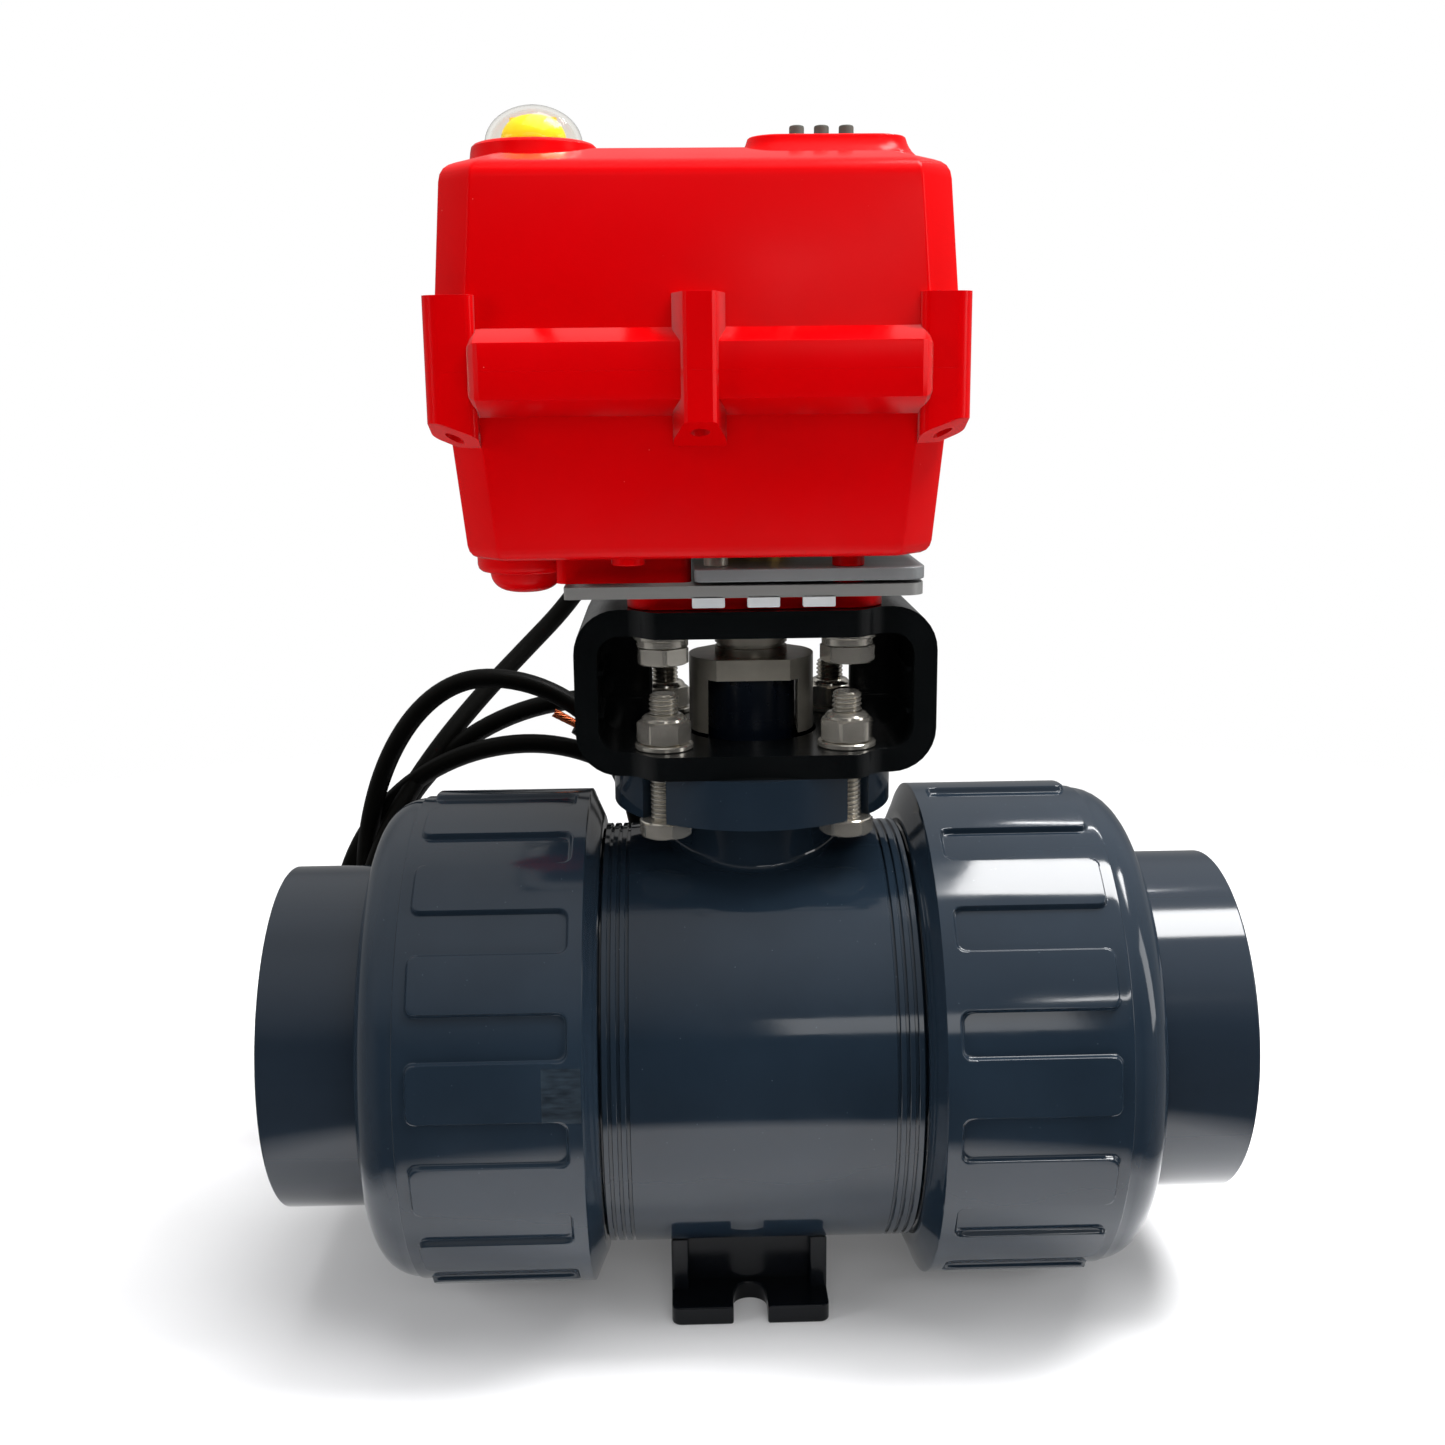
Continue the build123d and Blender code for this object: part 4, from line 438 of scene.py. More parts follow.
# ---- valve body
def groove_profile():
    """Outside of the body from its left end to its right end: plain cylinder with three grooves a side."""
    groove = ((0.0, 60.6), (0.15, 60.45), (0.2, 59.7), (1.0, 59.7), (1.05, 60.45), (1.2, 60.6))
    half = []
    for index in range(3):
        half += [(35.0 + 2.4 * index + x, r) for x, r in groove]
    half += [(42.2, 60.6), (42.4, 60.4), (42.4, 56.4), (71.0, 56.4)]
    return [(-x, r) for x, r in reversed(half)] + half


def saddle_neck(neck_r, body_r, fillet, top, steps=96):
    """Neck on a horizontal cylinder, with a rolling-ball fillet where they meet."""
    ball_r = body_r + fillet
    rings = [[] for _ in range(12)]
    for angle in whole_turn(steps):
        direction = Vector((cos(angle), sin(angle), 0.0))
        middle = direction * (neck_r + fillet)
        middle.z = sqrt(ball_r**2 - middle.y**2)
        on_neck = direction * neck_r + Vector((0, 0, middle.z))
        on_body = Vector((middle.x, middle.y * body_r / ball_r, middle.z * body_r / ball_r))
        rings[0].append((on_neck.x, on_neck.y, top))
        rings[1].append((on_neck.x, on_neck.y, AXIS_Z + on_neck.z + 2.0))
        for index in range(9):
            point = middle + swung(on_neck - middle, on_body - middle, index / 8)
            rings[2 + index].append((point.x, point.y, AXIS_Z + point.z))
        rings[11].append((on_body.x, on_body.y, AXIS_Z + on_body.z - 2.0))
    return loft(rings)


def notched_flange(radius=39.4, notch_r=4.5, notch_at=35.0):
    """Round flange outline with a notch for each bolt, open to the outside."""
    outline = []
    for quarter in range(4):
        direction = radians(45 + 90 * quarter)
        along = Vector((cos(direction), sin(direction)))
        across = Vector((-along.y, along.x))
        reach = sqrt(radius**2 - notch_r**2)
        outline.append(tuple(along * reach - across * notch_r))
        for step in range(9):
            turn = pi * step / 8
            inward = along * (notch_at - notch_r * sin(turn))
            outline.append(tuple(inward - across * notch_r * cos(turn)))
        outline.append(tuple(along * reach + across * notch_r))
        spare = asin(notch_r / radius)
        for step in range(1, 16):
            angle = direction + spare + (pi / 2 - 2 * spare) * step / 16
            outline.append((radius * cos(angle), radius * sin(angle)))
    return outline


def make_valve_body():
    """Body with its neck, mounting flange and the threads under the nuts."""
    inside = [(71.0, 51.2), (-36.0, 51.2), (-36.0, 38.5), (-71.0, 38.5)]
    stem_hole = slab(circle(12.4), 20, 95)
    shell = carved(lathe(groove_profile() + inside, 144, "x", (0.0, AXIS_Z)), stem_hole)
    neck = carved(saddle_neck(24.0, 60.6, 2.6, AXIS_Z + 72), stem_hole)
    flange = carved(slab(notched_flange(), 71.0, 84.3), stem_hole)
    threads = []
    for ends in ((44.5, 70.8), (-70.8, -44.5)):
        points, faces = screw_thread(58.4, 2.0, 6.0, *ends, "x", (0.0, AXIS_Z), 144, 12)
        threads.append((points, [face for face in faces if len(face) == 4]))
    whole = join(shell, neck, flange, *threads)
    piece("body_shell", whole, "pvc_dark_grey", "valve_body", bevel=0.45)


def inside_corner(x, y, radius):
    """Signed distance to a quarter-plane x<0 and y<0 whose corner is rounded."""
    across, up = x + radius, y + radius
    if across > 0 and up > 0:
        return hypot(across, up) - radius
    return max(across, up) - radius


def smooth(step):
    """Share from 0 to 1 that starts and ends level."""
    return step * step * (3 - 2 * step)


def grip(x, around):
    """Height of the nut's grip, 0 to 1, at a distance from the valve's centre and a place around the nut."""
    offset = abs((around + TONGUE_PITCH / 2) % TONGUE_PITCH - TONGUE_PITCH / 2)
    tongue = inside_corner(x - 91.6, offset - TONGUE_HALF, 2.2)
    pocket = inside_corner(50.6 - x, TONGUE_HALF - offset, 2.4)
    raised = min(tongue, -pocket) if x < 70 else tongue
    step = min(1.0, max(0.0, 0.5 - raised / 0.85))
    return smooth(step)


def tongue_places():
    """Places around one tongue and the pocket after it, close together at the tongue's edges."""
    near = [-2.6, -1.9, -1.3, -0.85, -0.6, -0.4, -0.2, 0.0, 0.2, 0.4, 0.6, 0.85, 1.3, 1.9, 2.6]
    places = [-TONGUE_HALF + step for step in near] + [-2.6, 0.0, 2.6]
    return places + [TONGUE_HALF + step for step in near] + [TONGUE_PITCH / 2 - 1.2, TONGUE_PITCH / 2 + 1.2]


def make_union_nut(side, name, turn, look):
    """Union nut with grip tongues that run into its rim, a round shoulder and a chamfered mouth."""
    mouth = [(86.0, 59.0), (43.4, 59.0), (43.2, 59.3), (43.2, 63.2), (43.4, 63.7), (44.3, 65.7), (45.4, 68.1)]
    mouth += [(46.2, 70.0), (46.4, 70.6)]
    gripped = [46.7, 47.1, 48.0, 49.2, 49.7, 49.9, 50.1, 50.3, 50.5, 50.7, 50.9, 51.1, 51.4, 51.8, 52.4, 53.2]
    gripped += [54.6, 57.0, 57.3, 61.0, 65.0, 69.9, 76.0, 82.0, 87.0, 88.6, 89.4, 90.0, 90.5, 90.8, 91.0]
    gripped += [91.2, 91.4, 91.6, 91.8, 92.0, 92.3, 92.8, 93.6]
    shoulder = [(94.6, 69.5), (95.0, 69.45), (95.2, 69.1), (95.4, 69.0)]
    for step in range(1, 10):
        swing = pi / 2 * step / 9
        shoulder.append((95.4 + 11.4 * sin(swing), 57.8 + 11.2 * cos(swing)))
    shoulder += [(107.0, 57.0), (107.0, 50.4), (106.6, 49.75), (86.0, 49.75)]
    rings = []
    for tongue in range(TONGUES):
        for place in tongue_places():
            angle = radians(turn + 360 / TONGUES * tongue) + place / GRIP_R
            raised = [(x, 69.5 + 1.6 * (grip(x, place) if x > 49.5 else 1.0)) for x in gripped]
            profile = mouth + raised + shoulder
            rings.append([(side * x, -r * cos(angle), AXIS_Z + r * sin(angle)) for x, r in profile])
    shape = loft(rings + rings[:1], caps=False)
    return piece(f"nut_{name}", shape, look, f"union_nut_{name}", f"nut_{name}", sharp=50.0)


def mark_scrape(nut):
    """Marks the scraped place on the left nut's front, where the mould number was taken off."""
    mask = nut.data.attributes.new("scrape", "FLOAT", "POINT")
    for index, vertex in enumerate(nut.data.vertices):
        x, y, z = vertex.co / MM
        around = degrees(atan2(z - AXIS_Z, -y))
        on_patch = 46.9 < -x < 57.2 and 3.2 < around < 14.6
        mask.data[index].value = 1.0 if on_patch else 0.0


def make_connector(side, name):
    """End connector with a collar inside the nut and a solvent socket."""
    outline = [(71.2, 38.5), (71.2, 57.6, 0.4), (71.6, 58.2, 0.4), (85.2, 58.2, 0.6), (85.4, 49.3, 0.8)]
    outline += [(134.6, 49.24, 0.5), (135.0, 48.8, 0.3), (135.0, 46.6, 0.2), (133.0, 44.8, 0.3)]
    outline += [(87.0, 44.6, 0.5), (86.8, 38.5, 0.8)]
    profile = [(side * x, r) for x, r in rounded(outline, 0.5, 3)]
    shape = lathe(profile, 144, "x", (0.0, AXIS_Z))
    replaced, body = f"end_connector_{name}", f"connector_{name}"
    piece(f"connector_piece_{name}", shape, "pvc_turned", replaced, body, sharp=40.0)


def make_foot(centre=-2.8):
    """Foot with a slotted plate, a block between two ribs and a saddle under the body."""
    slots = []
    for side in (-1, 1):
        slots.append(prism(rounded(rectangle(4.9, 13.0 + 4.9, (centre, side * 41.8)), 4.85, 8), -1.0, 8.0))
    plate = carved(prism(rounded(rectangle(22.5, 37.0, (centre, 0.0)), 2.6, 5), 0.0, 5.6), *slots)
    barrel = lathe([(-60.0, CORE), (-60.0, 60.75), (60.0, 60.75), (60.0, CORE)], 144, "x", (0.0, AXIS_Z))
    block = carved(prism(rectangle(22.0, 22.0, (centre, 0.0)), 3.0, 41.0), barrel)
    ribs = []
    for side in (-1, 1):
        ribs.append(carved(prism(rectangle(2.5, 27.3, (centre + side * 20.0, 0.0)), 3.0, 41.0), barrel))
    piece("foot", join(plate, block, *ribs), "foot_black", "base_foot", bevel=0.7, segments=3)


# ---- bolts, nuts and washers
def washer(low, high, outer, inner, centre):
    """Flat washer with broken edges, between two levels above the pipe axis."""
    edge = 0.25
    profile = [(low, inner), (low, outer - edge), (low + edge, outer)]
    profile += [(high - edge, outer), (high, outer - edge), (high, inner)]
    return upright(profile, 48, centre)


def make_flange_bolts():
    """Bolts up through the flange and the bracket floor, with lock nuts and washers above."""
    nuts, washers = [], []
    for index, spot in enumerate(BOLT_SPOTS):
        turn = radians((12, 27, 5, 40)[index])
        head = hexagon(13.0, AXIS_Z + 66.4, AXIS_Z + 70.5, chamfers=(True, False), centre=spot, turn=turn)
        under_head = washer(70.4, 70.98, 6.9, CORE, spot)
        rod = screw_thread(*M8_THREAD, AXIS_Z + 68.0, AXIS_Z + 105.8, "z", spot, end=3.2)
        shape = join(head, under_head, rod)
        piece(f"flange_screw_{index + 1}", shape, "stainless", f"flange_bolt_{index + 1}", sharp=28.0)
        nuts.append(hexagon(13.0, AXIS_Z + 92.35, AXIS_Z + 98.6, 4.05, centre=spot, turn=turn + 0.3))
        collar = [(98.3, 4.05), (98.3, 6.1), (99.2, 5.9), (99.9, 5.3), (100.25, 4.6), (100.25, 4.05)]
        nuts.append(upright(collar, 48, spot))
        washers.append(washer(90.85, 92.3, 7.9, 4.2, spot))
        washers.append(washer(120.75, 122.15, 7.9, 4.2, spot))
        washers.append(spring_washer(AXIS_Z + 118.6, AXIS_Z + 120.7, spot, turn))
    piece("lock_nuts", join(*nuts), "stainless", "flange_nuts", sharp=28.0)
    piece("washers", join(*washers), "stainless", "bolt_washers", sharp=28.0)


def spring_washer(low, high, centre, turn, climb=0.35):
    """Split ring that climbs a little from one end to the other."""
    section = [(4.25, low + 0.2), (6.9, low + 0.2), (6.9, high - 0.2), (4.25, high - 0.2)]
    rings = []
    for step in range(61):
        angle = turn + radians(6 + 348 * step / 60)
        lift = climb * (step / 60 - 0.5)
        rings.append([polar("z", centre, z + lift, r, angle) for r, z in section])
    return loft(rings)


def make_bracket_bolts():
    """Bolts up through the bracket's roof into the plate."""
    for index, spot in enumerate(BOLT_SPOTS):
        turn = radians((8, 20, 33, 14)[index])
        head = hexagon(13.0, AXIS_Z + 114.0, AXIS_Z + 118.5, chamfers=(True, False), centre=spot, turn=turn)
        rod = screw_thread(*M8_THREAD, AXIS_Z + 116.0, AXIS_Z + 136.2, "z", spot)
        shape = join(head, rod)
        piece(f"bracket_screw_{index + 1}", shape, "stainless", f"bracket_bolt_{index + 1}", sharp=28.0)


# ---- bracket, coupling and plates
def bracket_reach(x):
    """How far the bracket's floor and roof stand out from the middle."""
    return 30.0 + 7.0 * smooth(min(1.0, max(0.0, (34.0 - abs(x)) / 8.0)))


def frame_outline(half_x, low, high, corner, per_side=36):
    """Rounded rectangle in the XZ plane with points all along its long sides."""
    corners = rounded([(-half_x, low), (half_x, low), (half_x, high), (-half_x, high)], corner, 8)
    outline = []
    for index, (x, z) in enumerate(corners):
        next_x, next_z = corners[(index + 1) % len(corners)]
        gap = abs(next_x - x)
        count = per_side if gap > 20 else 1
        for step in range(count):
            outline.append((x + (next_x - x) * step / count, z + (next_z - z) * step / count))
    return outline


def make_bracket():
    """Rectangular frame whose floor and roof swell forward and back between their corners."""
    outer = frame_outline(48.3, AXIS_Z + 84.3, AXIS_Z + 129.3, 12.0)
    window = frame_outline(42.2, AXIS_Z + 90.8, AXIS_Z + 122.2, 6.0)
    rings = []
    for outline, side in ((outer, -1), (outer, 1), (window, 1), (window, -1)):
        rings.append([(x, side * bracket_reach(x), z) for x, z in outline])
    frame_shape = loft(rings + rings[:1], caps=False)
    cutters = [slab(circle(18.6, steps=72), 80, 135)]
    cutters += [slab(circle(4.5, spot, 32), 80, 135) for spot in BOLT_SPOTS]
    ribs = []
    for side in (-1, 1):
        for level in (99.5, 111.0):
            ribs.append(slab(rectangle(1.2, 26.0, (side * 42.0, 0.0)), level, level + 1.3))
        ribs.append(slab(rounded(rectangle(8.5, 2.5, (side * 36.5, 0.0)), 1.0, 3), 90.0, 123.0))
        ribs.append(slab(rectangle(6.0, 3.2, (side * 37.0, 0.0)), 99.0, 100.2))
    shape = join(carved(frame_shape, *cutters), *ribs)
    piece("bracket", shape, "bracket_black", "mounting_bracket", bevel=0.8, segments=3, sharp=38.0)


def coupling_outline(flat, chamfer, radius=17.6):
    """Round outline with a flat front and back and chamfers beside them."""
    start = asin((flat - chamfer) / radius)
    outline = []
    for side in (1, -1):
        for step in range(17):
            angle = -start + 2 * start * step / 16
            outline.append((side * radius * cos(angle), side * radius * sin(angle)))
        inner = sqrt(radius**2 - (flat - chamfer) ** 2) - chamfer
        outline += [(side * inner, side * flat), (-side * inner, side * flat)]
    return outline


def make_coupling():
    """Forked coupling between the valve stem and the actuator's shaft, with a grooved hub."""
    outline = coupling_outline(14.0, 5.0)
    slot = slab(rectangle(12.5, 30.0), 60.0, 106.7)
    socket = slab(circle(6.7), 105, 114)
    fork = carved(slab(outline, 91.4, 112.5), slot, socket)
    collar = [(112.5, 6.7), (112.5, 10.2), (114.6, 10.2), (114.8, 9.6), (115.6, 9.6), (115.8, 10.2)]
    hub = upright(collar + [(120.0, 10.2), (120.0, 6.7)], 72)
    piece("coupling", join(fork, hub), "cast_steel", "stem_coupling", "turning", bevel=0.35)


def make_plates():
    """Red pad and the two plates between the bracket and the housing, with the lower plate's bent tabs."""
    shaft_hole = slab(circle(13.0), 125, 145)
    bolt_holes = [slab(circle(4.3, spot, 24), 125, 136.6) for spot in BOLT_SPOTS]
    pad = carved(slab(rounded(rectangle(34.0, 33.0), 9.0, 6), 129.35, 133.35), shaft_hole, *bolt_holes)
    piece("spacer", pad, "abs_red", "spacer_pad", bevel=0.5)
    lower_corners = [(-49.6, -40.0, 1.0), (43.2, -40.0, 5.0), (43.2, 40.0, 5.0), (-49.6, 40.0, 1.0)]
    lower = carved(slab(rounded(lower_corners, 5.0, 6), 133.4, 136.5), shaft_hole, *bolt_holes)
    tabs = [slab(rectangle(4.2, 1.5, (x, -38.5)), 130.8, 134.0) for x in (-12.6, 1.6, 15.9)]
    piece("steel_plate", lower, "drawn_steel", "lower_plate", bevel=0.3)
    piece("plate_tabs", join(*tabs), "tab_steel", bevel=0.3)
    upper_corners = [(-16.2, -40.0, 2.0), (43.5, -40.0, 5.0), (43.5, 40.0, 5.0), (-16.2, 40.0, 2.0)]
    upper = carved(slab(rounded(upper_corners, 3.0, 6), 137.4, 140.7), shaft_hole)
    piece("grey_plate", upper, "plate_grey", "upper_plate", bevel=0.35)


def make_pillars():
    """Short red feet and steel spacers that hold the housing above the plates."""
    feet = ((4.0, -41.0, 19.0, 136.5, 138.4), (4.2, 24.0, 33.0, 136.5, 137.4))
    feet += ((4.2, 24.0, 33.0, 140.7, 144.4), (4.3, -33.0, 36.4, 141.9, 144.4))
    red = [slab(circle(r, (x, side * y)), low, high) for side in (-1, 1) for r, x, y, low, high in feet]
    piece("pillars", join(*red), "abs_red", "plate_pillars", bevel=0.3)
    spacers = [washer(140.7, 143.9, 3.2, CORE, (-10.4, side * 31.0)) for side in (-1, 1)]
    piece("steel_spacers", join(*spacers), "cast_steel", sharp=28.0)


# ---- actuator housing and cover
def case_half(level, low, high):
    """Half-lengths of a drafted case at a level, from the (level, half) pairs at its two ends."""
    share = (level - low[0]) / (high[0] - low[0])
    return [a + (b - a) * share for a, b in zip(low[1], high[1])]


def case_ring(level, half, grow=0.0, chamfer=8.5, corner=1.4):
    """Outline of the case with its corners cut off, at a level above the pipe axis."""
    across, deep = half[0] + grow, half[1] + grow
    cut = max(1.0, chamfer + 0.41 * min(0.0, grow) * 1.4)
    corners = [(across - cut, -deep), (across, cut - deep), (across, deep - cut), (across - cut, deep)]
    corners += [(cut - across, deep), (-across, deep - cut), (-across, cut - deep), (cut - across, -deep)]
    return [(CASE_X + x, y, AXIS_Z + level) for x, y in rounded(corners, corner, 3)]


def band(side, levels):
    """Half of the roll along the case over the joint; the levels run from the joint to the roll's edge."""
    joint, face_edge, root = levels
    stations = [(-70.4, 0.0), (-70.0, 0.42), (-69.1, 0.72), (-68.0, 0.92), (-66.8, 1.0)]
    stations += [(-x - 28.0, depth) for x, depth in reversed(stations)]
    rings = []
    for x, depth in stations:
        open_up = 0.35 + 0.65 * min(1.0, depth * 1.1)
        edge = joint + (face_edge - joint) * (0.72 + 0.28 * depth)
        far = joint + (root - joint) * (0.45 + 0.55 * open_up)
        out = 49.4 + 9.6 * depth
        section = [(46.5, joint), (out, joint), (out, edge), (out - 0.25 * depth, edge + 0.25 * (far - edge))]
        rings.append([(x, side * y, AXIS_Z + z) for y, z in section + [(48.0, far), (46.5, far)]])
    return loft(rings)


def corner_boss(side_x, side_y, top, bottom, slope):
    """Screw boss on a corner of the case; its bottom is cut off on a slope towards the wall."""
    centre = (CASE_X + side_x * 60.1, side_y * 46.6)
    corners = [(-6.3, -6.3, 1.0), (6.3, -6.3, 2.0), (6.3, 6.3, 4.2), (-6.3, 6.3, 2.0)]
    outline = [(centre[0] + side_x * x, centre[1] + side_y * y) for x, y in rounded(corners, 2.0, 5)]
    low = []
    for x, y in outline:
        inward = 12.6 - (side_x * (x - centre[0]) + side_y * (y - centre[1]))
        low.append((x, y, AXIS_Z + bottom - slope * max(0.0, inward - 4.0)))
    return loft([low, [(x, y, AXIS_Z + top) for x, y in outline]])


def middle_boss(side_y, top, bottom, slope):
    """Screw boss in the middle of a long side, wider at the wall than at its face."""
    wall, face = 47.0, 62.0
    half = [(6.6, wall), (6.4, 51.5), (3.9, face - 0.7), (3.0, face)]
    outline = [(-half[0][0], wall)] + half + [(-x, y) for x, y in reversed(half[1:])]
    points = [(CASE_X + x, side_y * y) for x, y in outline]
    low = [(x, y, AXIS_Z + bottom - slope * (face - abs(y))) for x, y in points]
    return loft([low, [(x, y, AXIS_Z + top) for x, y in points]])


def boss_spots():
    """Centres of the six screws."""
    return [(CASE_X + x, side * y) for side in (-1, 1) for x, y in ((-60.1, 46.6), (0.0, 55.6), (60.1, 46.6))]


def bosses(top, bottom, slope, cutters):
    """The six bosses of the housing or of the cover, with their screw holes."""
    made = []
    for side_y in (-1, 1):
        made.append(carved(middle_boss(side_y, top, bottom, slope), *cutters))
        for side_x in (-1, 1):
            made.append(carved(corner_boss(side_x, side_y, top, bottom, slope), *cutters))
    return made


def make_housing():
    """Lower half of the case: drafted tub with the lower half of the roll, bosses and the block beneath."""
    low, high = (143.8, (59.3, 44.6)), (PARTING, (63.6, 48.9))
    levels = ((143.8, -3.6), (143.95, -2.3), (144.6, -1.05), (145.7, -0.3), (147.2, 0.0), (165.0, 0.0))
    levels += ((190.3, 0.0), (PARTING, -0.2), (PARTING, -3.0), (147.4, -3.0), (146.9, -3.6))
    rings = [case_ring(level, case_half(level, low, high), grow) for level, grow in levels]
    shaft_hole = slab(circle(11.05), 135, 148)
    gland_hole = prism(circle(6.0, GLAND_SPOT, 32), 38.0, 52.0, "y")
    tub = carved(loft(rings), shaft_hole, gland_hole)
    holes = [slab(circle(2.4, spot, 24), 160, 192) for spot in boss_spots()]
    block_outline = rounded(rectangle(17.6, 33.0, (-34.4, 0.0)), 3.0, 5)
    block = carved(slab(block_outline, 136.6, 144.6), shaft_hole)
    parts = [tub, block, *bosses(PARTING, 178.4, 0.42, holes)]
    parts += [band(side, (PARTING, 185.2, 179.6)) for side in (-1, 1)]
    case = piece("housing", join(*parts), "abs_red", "lower_housing", bevel=0.3, sharp=24.0)
    case.visible_glossy = False


def pad_shape():
    """Raised pad around the buttons, flaring out at its foot."""
    levels = ((240.0, 5.2), (241.6, 3.9), (242.6, 2.6), (243.6, 1.55), (244.6, 0.85), (245.6, 0.35))
    levels += ((246.4, 0.1), (246.95, -0.1), (247.2, -0.45), (247.3, -1.0))
    rings = []
    for level, grow in levels:
        outline = rounded(rectangle(20.0 + grow, 12.0 + grow, PAD_SPOT), 8.0 + grow, 7)
        rings.append([(x, y, AXIS_Z + level) for x, y in outline])
    return loft(rings)


def make_cover():
    """Upper half of the case with its crown, dome ring, button pad, roll and bosses."""
    low, high = (PARTING, (65.6, 50.6)), (239.5, (62.3, 47.3))
    walls = ((PARTING, -0.15), (190.7, 0.0), (210.0, 0.0), (235.6, 0.0), (237.4, -0.25), (238.8, -1.0))
    walls += ((239.7, -2.2), (240.3, -3.8))
    outside = [case_ring(level, case_half(level, low, high), grow) for level, grow in walls]
    crown = ((242.6, -12.0), (244.6, -20.0), (245.3, -24.5), (245.5, -29.0))
    outside += [case_ring(level, high[1], grow) for level, grow in crown]
    inside = [case_ring(PARTING, low[1], -3.0), case_ring(235.0, high[1], -3.4)]
    inside.append(case_ring(236.5, high[1], -5.0))
    button_holes = [slab(circle(2.0, spot, 24), 230, 255) for spot in BUTTON_SPOTS]
    dome_hole = slab(circle(10.0, DOME_SPOT), 230, 262)
    shell = carved(loft(outside[::-1] + inside), dome_hole, *button_holes)
    ring_profile = [(239.0, 10.0), (239.0, 18.2), (240.8, 17.0), (242.4, 16.3), (244.6, 16.0), (245.7, 15.75)]
    ring_profile += [(246.3, 15.1), (246.6, 14.2), (246.6, 12.6), (245.1, 12.45), (245.1, 10.0)]
    dome_ring = upright(ring_profile, 96, DOME_SPOT)
    shanks = [slab(circle(2.1, spot, 24), 185, 215) for spot in boss_spots()]
    heads = [slab(circle(4.0, spot, 32), 203.5, 215) for spot in boss_spots()]
    parts = [shell, dome_ring, carved(pad_shape(), *button_holes)]
    parts += bosses(208.5, PARTING, 0.0, [*shanks, *heads])
    parts += [band(side, (PARTING, 195.8, 201.4)) for side in (-1, 1)]
    case = piece("cover_shell", join(*parts), "abs_red", "upper_cover", "cover", bevel=0.3, sharp=24.0)
    case.visible_glossy = False


def make_plug():
    """Screwed plug in the spare conduit entry under the housing, with a domed head."""
    profile = [(143.9, CORE), (143.9, 13.0), (140.0, 13.0), (138.9, 12.7), (138.2, 11.9), (137.9, 10.6)]
    profile += [(137.8, 9.7), *arc(9.6, 137.6, -5.3, 10, 0.6)]
    piece("plug", upright(profile, 72, (-61.5, -12.0)), "abs_red", "conduit_plug", sharp=50.0)


def make_gland():
    """Cable gland on the back wall, with a ribbed cap."""
    base = lathe([(46.5, 5.5), (46.5, 10.6), (48.5, 10.6), (49.9, 9.9), (49.9, 5.5)], 48, "y", GLAND_SPOT)
    nut = hexagon(19.0, 50.0, 56.0, 4.0, axis="y", centre=GLAND_SPOT, turn=0.2)
    cap_profile = [(56.0, 3.4), (56.0, 8.6), (62.6, 8.6), (65.2, 7.9), (67.0, 6.6), (67.9, 5.4), (68.0, 3.4)]
    cap = lathe(cap_profile, 48, "y", GLAND_SPOT)
    ribs = [prism(circle(0.65, middle, 8), 56.8, 62.4, "y") for middle in circle(8.5, GLAND_SPOT, 16)]
    piece("gland", join(base, nut, cap, *ribs), "gland_black", "cable_gland", bevel=0.2)


def make_cover_screws():
    """Six socket-head screws down through the cover's bosses."""
    screws = []
    for spot in boss_spots():
        key = hexagon(3.0, AXIS_Z + 205.5, AXIS_Z + 208.0, chamfers=(False, False), centre=spot, turn=0.4)
        head = upright([(203.5, CORE), (203.5, 3.4), (207.1, 3.4), (207.5, 3.0), (207.5, CORE)], 40, spot)
        shank = screw_thread(1.98, 0.25, 0.7, AXIS_Z + 182.0, AXIS_Z + 203.6, "z", spot, around=20)
        screws += [carved(head, key), shank]
    piece("case_screws", join(*screws), "stainless", "cover_screws", "cover", sharp=28.0)


# ---- indicator, dome and buttons
def arc(radius, level, height, steps, power=1.0):
    """Levels and radii of a quarter-ellipse that closes upwards, without its first point."""
    turns = [pi / 2 * step / steps for step in range(1, steps + 1)]
    return [(level + height * sin(t), radius * cos(t) ** power + CORE) for t in turns]


def make_indicator():
    """Clear dome with the yellow knob that turns under it."""
    outer, inner = 12.35, 11.2
    profile = [(245.15, inner), (245.15, outer), (246.5, outer), *arc(outer, 246.5, 9.5, 14)]
    profile += arc(inner, 246.4, 8.6, 14)[::-1] + [(246.4, inner + CORE)]
    dome = upright(profile, 72, DOME_SPOT)
    piece("dome", dome, "clear_dome", "indicator_dome", "cover", sharp=60.0)
    knob_profile = [(245.3, CORE), (245.3, 8.3), (247.2, 8.3), *arc(8.3, 247.2, 6.5, 12, 0.8)]
    knob = upright(knob_profile, 72, DOME_SPOT)
    pointer = []
    for side in (-1, 1):
        middle = (DOME_SPOT[0] + side * 3.4, DOME_SPOT[1])
        pointer.append(slab(rounded(rectangle(2.6, 0.9, middle), 0.5, 3), 249.2, 253.2))
    shape = join(knob, *pointer)
    piece("knob", shape, "indicator_yellow", "indicator_knob", "indicator", bevel=0.2, sharp=40.0)


def make_buttons():
    """Three small push buttons with domed tops."""
    profile = [(229.0, CORE), (229.0, 1.2), (241.5, 1.2), (241.5, 2.7), (243.0, 2.7), (243.0, 1.9)]
    profile += [(250.2, 1.9), (250.6, 1.75), (250.78, 1.3), (250.8, CORE)]
    for index, spot in enumerate(BUTTON_SPOTS):
        name = f"button_{index + 1}"
        shape = upright(profile, 40, spot)
        piece(f"{name}_cap", shape, "button_grey", name, name, sharp=40.0)


